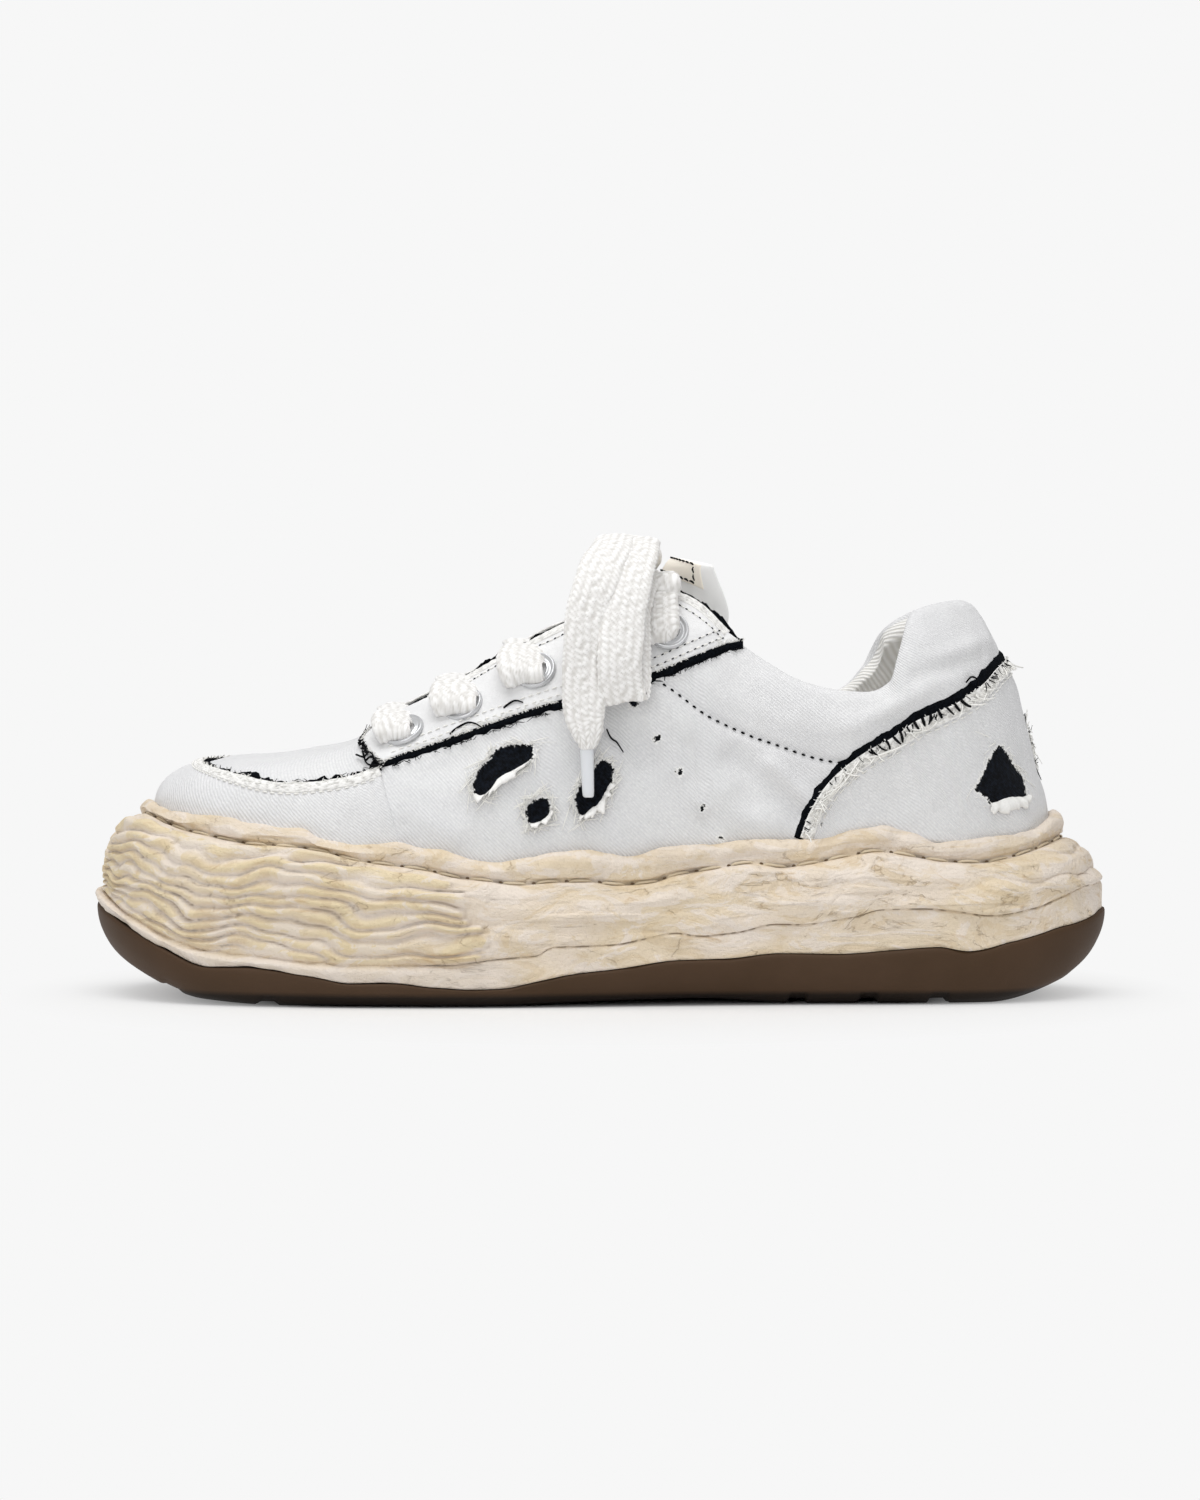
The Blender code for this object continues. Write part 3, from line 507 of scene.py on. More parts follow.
def from_line(points, line):
    """Distance from points to a line of points."""
    flat = points.reshape(-1, points.shape[-1])
    nearest = np.full(len(flat), np.inf)
    for start, end in zip(line[:-1], line[1:]):
        ahead = end - start
        t = np.clip((flat - start) @ ahead / np.linalg.norm(ahead) ** 2, 0, 1)
        nearest = np.minimum(nearest, np.linalg.norm(flat - start - t[:, None] * ahead, axis=1))
    return nearest.reshape(points.shape[:-1])


def inside(points, outline):
    """Whether flat points are inside a closed outline: a ray crosses it an odd number of times."""
    x, y = points[..., 0], points[..., 1]
    crossed = np.zeros(x.shape, bool)
    for (x0, y0), (x1, y1) in zip(outline, np.roll(outline, -1, axis=0)):
        spans = (y0 > y) != (y1 > y)
        crossed ^= spans & (x < (x1 - x0) * (y - y0) / (y1 - y0 + 1e-12) + x0)
    return crossed


# ---------------------------------------------------------------- meshes

def grid_faces(rows, columns, round_rows=False, round_columns=False):
    """Quads of a grid of points, numbered row by row; a round direction joins its end to its start."""
    i = np.arange(rows if round_rows else rows - 1)[:, None]
    j = np.arange(columns if round_columns else columns - 1)[None]
    low, high = i * columns, (i + 1) % rows * columns
    near, far = j + 0 * i, (j + 1) % columns + 0 * i
    return np.stack([low + near, low + far, high + far, high + near], axis=-1).reshape(-1, 4)


def end_faces(start, around):
    """Quads that close a ring by rungs between its two halves."""
    k = np.arange(around // 2 - 1)
    return start + np.stack([k, k + 1, around - 2 - k, around - 1 - k], axis=-1)


def piece(name, points, faces, finish, uv=None, fields=None, slot=None, closed=True):
    """A mesh object from points in millimetres and quads, with UVs in metres at the quads' corners.

    A closed mesh is turned right side out by the sign of its volume.
    """
    points = np.asarray(points, float).reshape(-1, 3)
    if closed:
        a, b, c, d = (points[faces[:, k]] for k in range(4))
        if (a * (np.cross(b, c) + np.cross(c, d))).sum() < 0:
            faces = faces[:, ::-1]
            uv = None if uv is None else uv[:, ::-1]
    mesh = bpy.data.meshes.new(name)
    mesh.vertices.add(len(points))
    mesh.vertices.foreach_set("co", (points * MM).ravel())
    mesh.loops.add(faces.size)
    mesh.loops.foreach_set("vertex_index", faces.ravel().astype(np.int32))
    mesh.polygons.add(len(faces))
    mesh.polygons.foreach_set("loop_start", np.arange(0, faces.size, 4, dtype=np.int32))
    mesh.polygons.foreach_set("use_smooth", np.ones(len(faces), bool))
    mesh.update(calc_edges=True)
    if uv is not None:
        mesh.uv_layers.new(name="UVMap").data.foreach_set("uv", (uv * MM).reshape(-1))
    for field, values in (fields or {}).items():
        column = mesh.attributes.new(field, "FLOAT", "POINT")
        column.data.foreach_set("value", np.asarray(values, float).ravel())
    mesh.materials.append(finish)
    made = bpy.data.objects.new(name, mesh)
    bpy.context.scene.collection.objects.link(made)
    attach(made, BODY)
    return made


def corner_uv(u, v):
    """UVs at the corners of a grid's quads, from its rows' u and its columns' v, both with the last wrap."""
    u, v = np.broadcast_arrays(u, v)
    both = np.stack([u, v], axis=-1)
    return np.stack([both[:-1, :-1], both[:-1, 1:], both[1:, 1:], both[1:, :-1]], axis=-2).reshape(-1, 4, 2)


def loft(name, rings, finish, u, v_round, **more):
    """A closed solid from rings of points (stations, around, 3), its two ends closed by rungs.

    Its UVs are u along its stations, and from 0 to v_round round each ring.
    """
    stations, around = rings.shape[:2]
    faces = grid_faces(stations, around, round_columns=True)
    uv = corner_uv(u[:, None], np.linspace(0, v_round, around + 1)[None])
    ends = [end_faces(0, around)[:, ::-1], end_faces((stations - 1) * around, around)]
    lone = np.zeros((len(ends[0]), 4, 2))
    uv = np.concatenate([uv, lone + [u[0], 0], lone + [u[-1], 0]])
    return piece(name, rings, np.concatenate([faces, *ends]), finish, uv, **more)


def welded(made):
    """Joins points that fell on each other, and drops quads that collapsed."""
    shaped = bmesh.new()
    shaped.from_mesh(made.data)
    bmesh.ops.remove_doubles(shaped, verts=shaped.verts, dist=SAME_POINT * MM)
    shaped.to_mesh(made.data)
    shaped.free()
    return made


def plate(ring, across):
    """A sheet of points that fills a ring by straight rungs from its outer to its inner side."""
    half = len(ring) // 2
    one, other = ring[: half + 1], np.roll(ring[::-1], 1, axis=0)[: half + 1]
    q = np.linspace(0, 1, across)[None, :, None]
    return one[:, None] * (1 - q) + other[:, None] * q


def thread_tubes(paths, radius):
    """Points and quads of many thin four-sided tubes (threads, stations, 3), each tapered at its tip."""
    count, stations = paths.shape[:2]
    ahead = unit(np.gradient(paths, axis=1))
    guide = np.where(np.abs(ahead[..., 2:]) > 0.9, [1.0, 0, 0], [0, 0, 1.0])
    side = unit(np.cross(ahead, guide))
    up = np.cross(side, ahead)
    thick = np.broadcast_to(np.asarray(radius, float).reshape(-1, 1), (count, stations)) * 1.0
    thick = thick * (1 - 0.45 * np.linspace(0, 1, stations) ** 3)
    corners = [paths + to * thick[..., None] for to in (side, up, -side, -up)]
    points = np.stack(corners, axis=2).reshape(-1, 3)
    ends = [[3, 2, 1, 0]], [4 * stations + np.arange(-4, 0)]
    faces = np.concatenate([grid_faces(stations, 4, round_columns=True), *ends])
    return points, (faces[None] + (np.arange(count) * 4 * stations)[:, None, None]).reshape(-1, 4)


# ---------------------------------------------------------------- finishes

def shade(hex_colour):
    """Linear colour, with alpha, of an sRGB hex code."""
    parts = [int(hex_colour[k:k + 2], 16) / 255 for k in (1, 3, 5)]
    return [c / 12.92 if c < 0.04045 else ((c + 0.055) / 1.055) ** 2.4 for c in parts] + [1.0]


def start_material(name, **settings):
    """A new material with these values on its Principled shader; gives the material and its node tree."""
    made = bpy.data.materials.new(name)
    made.use_nodes = True
    shader = made.node_tree.nodes["Principled BSDF"]
    for socket, value in settings.items():
        shader.inputs[socket.replace("_", " ")].default_value = value
    return made, made.node_tree


def add(tree, kind, links=None, out=0, **settings):
    """One output of a new node of a kind, with its own settings, and its inputs linked or set by socket."""
    node = tree.nodes.new("ShaderNode" + kind)
    for setting, value in settings.items():
        setattr(node, setting, value)
    for socket, source in (links or {}).items():
        if isinstance(source, bpy.types.NodeSocket):
            tree.links.new(source, node.inputs[socket])
        else:
            node.inputs[socket].default_value = source
    return node.outputs[out]


def wired(made, **sources):
    """The material, with these outputs linked to its shader's inputs."""
    shader = made.node_tree.nodes["Principled BSDF"]
    for socket, source in sources.items():
        made.node_tree.links.new(source, shader.inputs[socket.replace("_", " ")])
    return made


COLOURS = {"out": 2, "data_type": "RGBA"}   # settings of a node that mixes colours


def laid_over(tree, under, over, share):
    """A colour laid over another by a share, given as the inputs of the node that maps its range."""
    share = add(tree, "MapRange", share)
    return add(tree, "Mix", {0: share, 6: under, 7: over}, **COLOURS)


def canvas_material():
    """White cotton canvas, twill woven and washed, with black felt behind its torn holes.

    The weave gives it fine diagonals and a dry, evenly lit surface.
    """
    made, tree = start_material("washed white twill canvas over black felt", Roughness=0.9,
                                Specular_IOR_Level=0.15)
    place = add(tree, "TexCoord", out="Object")
    uv = add(tree, "UVMap", uv_map="UVMap")
    # Twill of 0.9 mm from one diagonal to the next, about twice as coarse as the cloth so that it is seen.
    twill = add(tree, "TexWave", {"Vector": uv, "Scale": 494.0, "Distortion": 0.8, "Detail": 1.0},
                out="Fac", bands_direction="DIAGONAL")
    # Slubs of the yarn, 0.8 mm, and the cloudiness of washed cloth, 35 mm.
    slub = add(tree, "TexNoise", {"Vector": place, "Scale": 1200.0, "Detail": 4.0, "Roughness": 0.75})
    cloud = add(tree, "TexNoise", {"Vector": place, "Scale": 28.0, "Detail": 3.0, "Roughness": 0.5})
    white = laid_over(tree, shade("#ececec"), shade("#e4e4e5"), {0: cloud, 1: 0.35, 2: 0.7})
    white = laid_over(tree, white, shade("#cfcfd1"), {0: slub, 1: 0.36, 2: 0.72, 4: 0.62})
    white = laid_over(tree, white, shade("#c2c2c5"), {0: twill, 1: 0.0, 2: 0.6, 3: 0.22, 4: 0.0})
    # Holes: their outline frays by up to a millimetre, and a worn white rim lies round each.
    fray = add(tree, "TexNoise", {"Vector": place, "Scale": 800.0, "Detail": 4.0, "Roughness": 0.75})
    fray = add(tree, "Math", {0: fray, 1: 3.6, 2: -1.8}, operation="MULTIPLY_ADD")
    hole = add(tree, "Attribute", out="Fac", attribute_name="hole")
    edge = add(tree, "Math", {0: hole, 1: fray}, operation="ADD")
    felt = add(tree, "TexNoise", {"Vector": place, "Scale": 800.0, "Detail": 4.0, "Roughness": 0.8})
    black = laid_over(tree, shade("#040508"), shade("#1b212c"), {0: felt, 1: 0.42, 2: 0.75})
    worn = laid_over(tree, white, shade("#f8f7f4"), {0: edge, 1: 0.4, 2: 1.2, 3: 0.95, 4: 0.0})
    outside = laid_over(tree, black, worn, {0: edge, 1: 0.3, 2: 0.5})
    # Off-white lining inside, ribbed every 1.2 mm.
    ribs = add(tree, "TexWave", {"Vector": place, "Scale": 370.0, "Distortion": 0.5}, out="Fac",
               bands_direction="DIAGONAL")
    lining = add(tree, "Mix", {0: ribs, 6: shade("#e6e4df"), 7: shade("#f9f8f6")}, **COLOURS)
    within = add(tree, "Attribute", out="Fac", attribute_name="lining")
    within = add(tree, "MapRange", {0: within, 1: 0.35, 2: 0.65})
    colour = add(tree, "Mix", {0: within, 6: outside, 7: lining}, **COLOURS)
    height = add(tree, "Math", {0: slub, 1: twill}, operation="ADD")
    height = add(tree, "Mix", {0: within, 2: height, 3: ribs})
    relief = add(tree, "Bump", {"Height": height, "Strength": 0.4, "Distance": 0.0004})
    return wired(made, Base_Color=colour, Normal=relief)


def coated_material():
    """White canvas with a thin coat: smoother and paler than the sides, its grain drowned."""
    made, tree = start_material("white coated canvas", Roughness=0.62, Specular_IOR_Level=0.3)
    place = add(tree, "TexCoord", out="Object")
    # Rubbed patches of 16 mm, and grain of 2 mm.
    cloud = add(tree, "TexNoise", {"Vector": place, "Scale": 60.0, "Detail": 4.0, "Roughness": 0.6})
    white = laid_over(tree, shade("#ececec"), shade("#dfdfe0"), {0: cloud, 1: 0.35, 2: 0.7})
    grain = add(tree, "TexNoise", {"Vector": place, "Scale": 500.0, "Detail": 5.0, "Roughness": 0.65})
    relief = add(tree, "Bump", {"Height": grain, "Strength": 0.55, "Distance": 0.0008})
    return wired(made, Base_Color=white, Normal=relief)


def felt_material():
    """Black needled felt that backs the panels: it takes nearly all light, and is fuzzy at its cut edge."""
    made, tree = start_material("black felt backing", Roughness=0.97, Specular_IOR_Level=0.05)
    place = add(tree, "TexCoord", out="Object")
    # Tangled fibre, drawn 0.8 mm coarse.
    fibre = add(tree, "TexNoise", {"Vector": place, "Scale": 1300.0, "Detail": 4.0, "Roughness": 0.8})
    black = laid_over(tree, shade("#050608"), shade("#161a21"), {0: fibre, 1: 0.4, 2: 0.75})
    relief = add(tree, "Bump", {"Height": fibre, "Strength": 0.6, "Distance": 0.0006})
    return wired(made, Base_Color=black, Normal=relief)


def braid_material(name, light, dark, deep):
    """Flat braided cotton: matt and a little fluffy, with painted shade that makes it greyer between the
    strands.
    """
    made, tree = start_material(name, Roughness=0.92, Sheen_Weight=0.12, Sheen_Roughness=0.6,
                                Specular_IOR_Level=0.15)
    place = add(tree, "TexCoord", out="Object")
    # Fluff of the yarn, 0.7 mm.
    fluff = add(tree, "TexNoise", {"Vector": place, "Scale": 1400.0, "Detail": 3.0, "Roughness": 0.7})
    colour = laid_over(tree, shade(light), shade(dark), {0: fluff, 1: 0.3, 2: 0.75})
    # Painted shade: the deep colour lies where the strand field is low, between the strands.
    strand = add(tree, "Attribute", out="Fac", attribute_name="strand")
    colour = laid_over(tree, colour, shade(deep), {0: strand, 1: 0.0, 2: 0.7, 3: 0.7, 4: 0.0})
    relief = add(tree, "Bump", {"Height": fluff, "Strength": 0.35, "Distance": 0.0004})
    return wired(made, Base_Color=colour, Normal=relief)


# What lies over the plain rubber: the field, where it begins and is full, its greatest share and its colour.
RUBBER_FIELDS = (
    ("crest", 0.2, 0.7, 0.75, "#e2d0a8"),
    ("patch", 0.535, 0.56, 0.7, "#e8ddd2"),
    ("patch", 0.44, 0.42, 0.5, "#d4be9a"),
    ("stain", 0.6, 0.7, 0.55, "#c2a274"),
    ("crack", 0.7, 0.0, 0.5, "#a4865e"),
    ("skin", 0.0, 1.0, 0.8, "#e7dcd1"),
    # Painted shade: brown in the hollows, at the torn rib ends and in the crease, and darker brown in the
    # stitched groove and the dashes of the crease.
    ("hollow", 0.15, 1.0, 0.8, "#a18b72"),
    ("groove", 0.3, 1.0, 0.8, "#6e5c47"),
)


def rubber_material():
    """Cream rubber, rolled and smeared on by hand: yellow where it stands proud, pinkish where it is smooth.

    The smears lie along the sole with crisp edges, like plaster from a knife. Painted shade darkens its
    hollows, creases and stitched groove.
    """
    made, tree = start_material("hand-shaped cream rubber", Roughness=0.5, Specular_IOR_Level=0.3)
    place = add(tree, "TexCoord", out="Object")
    # Smears, patches and stains 40, 14 and 8 mm across, drawn out along the sole; grain of 1.2 mm.
    lay = add(tree, "Mapping", {"Vector": place, "Scale": (0.6, 0.7, 1.35)})
    smear = add(tree, "TexNoise", {"Vector": lay, "Scale": 26.0, "Detail": 5.0, "Roughness": 0.6,
                                   "Distortion": 1.2})
    patch = add(tree, "TexNoise", {"Vector": lay, "Scale": 72.0, "Detail": 6.0, "Roughness": 0.62,
                                   "Distortion": 1.8})
    stain = add(tree, "TexNoise", {"Vector": lay, "Scale": 125.0, "Detail": 5.0, "Roughness": 0.7,
                                   "Distortion": 1.0})
    grain = add(tree, "TexNoise", {"Vector": place, "Scale": 800.0, "Detail": 3.0, "Roughness": 0.6})
    # Fine cracks and knife edges, mostly along the sole: where a noise of 20 mm passes its middle value.
    crack = add(tree, "TexNoise", {"Vector": lay, "Scale": 50.0, "Detail": 5.0, "Roughness": 0.55,
                                   "Distortion": 0.6})
    crack = add(tree, "Math", {0: crack, 1: 0.5}, operation="SUBTRACT")
    crack = add(tree, "Math", {0: crack}, operation="ABSOLUTE")
    crack = add(tree, "MapRange", {0: crack, 1: 0.0, 2: 0.01})
    whole = add(tree, "MapRange", {0: patch, 1: 0.44, 2: 0.5})
    crack = add(tree, "Math", {0: crack, 1: whole}, operation="MAXIMUM")
    colour = laid_over(tree, shade("#e3d5c4"), shade("#dfceb3"), {0: smear, 1: 0.42, 2: 0.58})
    for name, low, high, full, tint in RUBBER_FIELDS:
        field = {"patch": patch, "stain": stain, "crack": crack}.get(name)
        field = field or add(tree, "Attribute", out="Fac", attribute_name=name)
        colour = laid_over(tree, colour, shade(tint), {0: field, 1: low, 2: high, 4: full})
    gloss = add(tree, "MapRange", {0: patch, 1: 0.3, 2: 0.7, 3: 0.42, 4: 0.62})
    height = add(tree, "Math", {0: stain, 1: 0.7, 2: patch}, operation="MULTIPLY_ADD")
    height = add(tree, "Math", {0: grain, 1: 0.4, 2: height}, operation="MULTIPLY_ADD")
    height = add(tree, "Math", {0: crack, 1: 0.2, 2: height}, operation="MULTIPLY_ADD")
    relief = add(tree, "Bump", {"Height": height, "Strength": 0.8, "Distance": 0.0016})
    return wired(made, Base_Color=colour, Roughness=gloss, Normal=relief)


def tread_material():
    """Brown rubber of the tread, moulded smooth and matt, with painted shade along its foot."""
    made, tree = start_material("moulded brown rubber", Roughness=0.62, Specular_IOR_Level=0.22)
    place = add(tree, "TexCoord", out="Object")
    # Bloom of 25 mm on the rubber, and a mould's grain of 0.7 mm.
    cloud = add(tree, "TexNoise", {"Vector": place, "Scale": 40.0, "Detail": 3.0})
    brown = laid_over(tree, shade("#44311f"), shade("#4c3827"), {0: cloud, 1: 0.3, 2: 0.7})
    # Painted shade: near-black on the lowest 4 mm, which stand on the ground, for the shadow where the tread
    # turns under.
    height = add(tree, "SeparateXYZ", {0: place}, out="Z")
    brown = laid_over(tree, brown, shade("#120d09"), {0: height, 1: 0.0046, 2: 0.003, 4: 0.85})
    grain = add(tree, "TexNoise", {"Vector": place, "Scale": 1500.0, "Detail": 2.0})
    relief = add(tree, "Bump", {"Height": grain, "Strength": 0.12, "Distance": 0.0003})
    return wired(made, Base_Color=brown, Normal=relief)


def plain_material(name, colour, **settings):
    """A material of one colour."""
    return start_material(name, Base_Color=shade(colour), **settings)[0]


CANVAS = canvas_material()
FELT = felt_material()
COATED = coated_material()
# The last colour of each braid is the painted shade between its strands.
LACE = braid_material("braided cotton lace", "#fbfaf9", "#f4f3f1", "#bcb8b1")
FRINGE = braid_material("frayed ends of white canvas", "#f9f8f6", "#ecebe8", "#b3b1ad")
RUBBER = rubber_material()
TREAD = tread_material()
# Soft white cotton of the tongue, finer and whiter than the canvas.
TONGUE_CLOTH = plain_material("soft white tongue cotton", "#fdfdfc", Roughness=0.92, Specular_IOR_Level=0.15)
# Cotton thread, twisted hard and lightly waxed.
WHITE_THREAD = plain_material("white sewing thread", "#f1f0ec", Roughness=0.7, Specular_IOR_Level=0.2)
BLACK_THREAD = plain_material("black sewing thread", "#090a0d", Roughness=0.8, Specular_IOR_Level=0.1)
# Heavy linen thread in the groove of the sole, gone the colour of the rubber.
SOLE_THREAD = plain_material("cream linen thread", "#d6c7ad", Roughness=0.8)
# Painted shade: dark brown marks that stand for the shadow in the stitch holes of the sole.
STITCH_HOLE_SHADE = plain_material("painted shade in the stitch holes", "#6d5a44", Roughness=0.95)
# Brass, pressed and rolled, then lacquered a silvery white.
EYELET_LACQUER = plain_material("white lacquered eyelet", "#cbccce", Roughness=0.26, Metallic=0.45,
                                Coat_Weight=0.4)
# Cellulose film rolled hot on the end of the lace; the cotton shows through it.
AGLET_FILM = plain_material("clear film over cotton", "#dfe2e6", Roughness=0.12, Coat_Weight=1.0,
                            Coat_Roughness=0.05)
LABEL_COTTON = plain_material("cream woven label", "#fff8ec", Roughness=0.9, Specular_IOR_Level=0.15)
INSOLE_CLOTH = plain_material("off-white insole cloth", "#d8d5ce", Roughness=0.95)


# ---------------------------------------------------------------- canvas

def around_places(count, outer_share=0.66):
    """Places round the last, set closer together on the outer side."""
    even = np.linspace(0, 1, count, endpoint=False)
    inner = 0.5 + (even - outer_share) / (1 - outer_share) * 0.5
    return np.where(even < outer_share, even / outer_share * 0.5, inner)


def face_line(points, side, step=2.0):
    """Points on the bare face of the upper along a line drawn as (x, z)."""
    place = on_side(points, side, step)
    return upper_face(place[:, 0], place[:, 1])


CREASE_LINES = [
    (face_line([start, end], side, 4.0), 0.5 * wide, deep) for side, start, end, wide, deep in CREASES
]
# Each seam that the canvas sinks along, half the width of its dip and its depth.
SEAMS = ((COLLAR_SEAM, 1.3, 0.9), (SIDE_SEAM, 0.7, 0.45))
SEAM_LINES = [(face_line(seam, side), wide, deep) for seam, wide, deep in SEAMS for side in (-1, 1)]


def collar_seam_z(x):
    """Height of the seam that the padded collar rises from, above the counter as well."""
    xs, zs = zip(*COLLAR_SEAM, *COUNTER_EDGE[4:], (130, 101.5), (150, COUNTER_BACK_Z - 1))
    return np.interp(x, xs, zs)


def canvas_rise(turn, climb):
    """How far the canvas stands off its bare face: stuffed collar, seams, placed creases and soft lumps."""
    face = upper_face(turn, climb)
    x, z = face[..., 0], face[..., 2]
    height = 0.35 * swell(face, 32, 3) + 0.12 * swell(face, 11, 5)
    above_seam = z - collar_seam_z(x)
    height = height + 1.5 * blend(above_seam, 0, 10) * blend(x, 16, 34) * blend(1.02 - climb, 0, 0.25)
    wrinkle = np.sin((0.55 * x + 1.1 * z) / 2.3 + 1.2 * swell(face, 22, 8))
    wrinkle = 0.22 * wrinkle * blend(x, 60, 84) * blend(above_seam, 1, 7)
    height = height + wrinkle * blend(1 - climb, 0, 0.1)
    for line, wide, deep in CREASE_LINES + SEAM_LINES:
        height = height - deep * bump(from_line(face, line) / wide)
    # The back of the heel is hollow above the sole.
    height = height - (2.1 * bump((z - 71) / 9) + 1.6 * bump((z - 86) / 9)) * blend(x, 118, 132)
    return height * blend(climb, -0.02, 0.06)


def canvas_at(turn, climb, lift=0.0):
    """Points of the canvas, lifted off it by a distance."""
    turn, climb = np.broadcast_arrays(np.asarray(turn, float), np.asarray(climb, float))
    off = canvas_rise(turn, climb) + lift
    return upper_face(turn, climb) + upper_out(turn, climb) * off[..., None]


def hole_distance(points):
    """Distance from the outline of the nearest hole of the outer side, negative within it."""
    flat = points[..., [0, 2]]
    nearest = np.full(flat.shape[:-1], 9.0)
    for outline in HOLES.values():
        outline = np.array(outline, float)
        distance = from_line(flat, np.concatenate([outline, outline[:1]]))
        signed = np.where(inside(flat, outline), -distance, distance)
        nearest = np.minimum(nearest, signed)
    for x, z, radius in PINHOLES:
        away = flat - (x, z)
        square = (np.abs(away) ** 3).sum(-1) ** (1 / 3)
        nearest = np.minimum(nearest, square + 0.12 * np.sin(3 * away[..., 0] + 5 * away[..., 1]) - radius)
    return np.where(points[..., 1] < 0, nearest, 9.0)


def make_upper():
    """The canvas from its foot in the cup over the rounded edge of the opening and down its lining."""
    turn = around_places(UPPER_AROUND)
    row = round_last(turn)
    half_edge = row["half"]
    length = np.linalg.norm(upper_face(turn, 1.0) - upper_face(turn, 0.0), axis=-1)
    round_from = 1 - 1.1 * half_edge / length
    outer, inner, holes = [], [], []
    x, y = last_outline(turn, 0)
    inner_x, inner_y = last_outline(turn, -WALL)
    sole_top = sole_line("bed", x) + GAP
    for sink in (0.0, 0.5):
        level = sole_top + (sole_line("rim", x) - TUCK - sole_top) * sink
        outer.append(np.stack([x, y, level], axis=-1))
        inner.append(np.stack([inner_x, inner_y, level], axis=-1))
        holes.append(np.full(len(turn), 9.0))
    for k in range(UPPER_STRAIGHT + UPPER_ROUNDING):
        if k < UPPER_STRAIGHT:
            climb, bend = round_from * k / UPPER_STRAIGHT, 0.0
        else:
            bend = math.sin(math.pi / 2 * (k - UPPER_STRAIGHT) / UPPER_ROUNDING)
            climb = round_from + (1 - round_from) * bend
        half = WALL / 2 + (half_edge - WALL / 2) * blend(climb, COLLAR_PAD_FROM, COLLAR_PAD_FULL)
        shape = math.sqrt(1 - bend * bend)
        face, out = upper_face(turn, climb), upper_out(turn, climb)
        rise = canvas_rise(turn, climb)
        hole = hole_distance(face)
        lip = bump((hole - 1.0) / 0.9) * (0.45 + 0.35 * swell(face, 2.6, 9))
        dip = HOLE_DEEP * blend(-hole, -0.2, 1.2) - lip
        outer.append(face + out * (rise - dip - half * (1 - shape))[:, None])
        holes.append(hole)
        # The lining is plain and needs fewer rings.
        if k % 3 == 0 or k >= UPPER_STRAIGHT:
            inner.append(face + out * (rise * 0.4 * shape - half * (1 + shape))[:, None])
    crest = upper_face(turn, 1.0) - upper_out(turn, 1.0) * half_edge[:, None]
    rings = np.stack(outer + [crest] + inner[::-1])
    hole_field = np.full(rings.shape[:2], 9.0)
    hole_field[: len(holes)] = np.stack(holes)
    lining = np.zeros(rings.shape[:2])
    lining[len(outer) + 1:] = 1.0
    lining[len(outer)] = 0.5
    u = run_along(np.concatenate([rings[30], rings[30, :1]]))
    steps = np.linalg.norm(np.diff(rings, axis=0), axis=2)
    v = np.concatenate([np.zeros((1, len(turn))), np.cumsum(steps, axis=0)])
    v = np.concatenate([v, v[:, :1]], axis=1)
    v = np.concatenate([v, v[-1:] + 2])
    faces = grid_faces(*rings.shape[:2], round_rows=True, round_columns=True)
    made = piece("canvas_upper", rings, faces, CANVAS, corner_uv(u[None], v),
                 {"hole": hole_field, "lining": lining}, slot="canvas")
    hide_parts("upper")
    return made


def panel(name, low, high, thick, rows, ragged, seed, finish=CANVAS):
    """A panel of canvas sewn on the upper, ruled between two lines of places (turn, climb) on it.

    It is a closed thin shell: its top follows the canvas, thins to rounded raw edges that wander by about
    ragged millimetres, and its underside lies just in the canvas.
    """
    stations = len(low)
    q = np.linspace(0, 1, rows)
    q = q - 0.07 * np.sin(math.tau * q) / 1.2
    random = np.random.default_rng(seed)
    length = np.linalg.norm(upper_face(*high.T) - upper_face(*low.T), axis=-1)
    wander = raggedness(random, stations) * ragged / np.maximum(length, 2)
    stretch = q[None] * (1 + wander[:, None])
    place = low[:, None] * (1 - stretch[..., None]) + high[:, None] * stretch[..., None]
    run = run_along(upper_face(*high.T))
    from_ends = np.minimum(run, run[-1] - run)[:, None]
    from_sides = np.minimum(q * length[:, None], (1 - q) * length[:, None])
    from_edge = np.minimum(from_ends, from_sides)
    near = np.clip(from_edge, 0, 1)
    # The stitches draw the panel in beside its edge.
    drawn_in = 0.125 * bump((from_edge - 3.4) / 1.2)
    top = canvas_at(place[..., 0], place[..., 1], thick * np.sqrt(1 - (1 - near) ** 2) - drawn_in)
    under = canvas_at(place[..., 0], place[..., 1], -0.35)
    count = stations * rows
    faces = grid_faces(stations, rows)
    edge = np.concatenate([
        np.arange(rows), np.arange(1, stations) * rows + rows - 1,
        (stations - 1) * rows + np.arange(rows - 2, -1, -1), np.arange(stations - 2, 0, -1) * rows,
    ])
    after = np.roll(edge, -1)
    walls = np.stack([edge, edge + count, after + count, after], axis=-1)
    faces = np.concatenate([faces, faces[:, ::-1] + count, walls])
    uv = corner_uv(run[:, None], q[None] * length[:, None])
    uv = np.concatenate([uv, uv[:, ::-1], np.zeros((len(walls), 4, 2))])
    fields = {"hole": np.tile(hole_distance(top), (2, 1, 1)), "lining": np.zeros(2 * count)}
    return piece(name, np.stack([top, under]), faces, finish, uv, fields, slot="canvas")


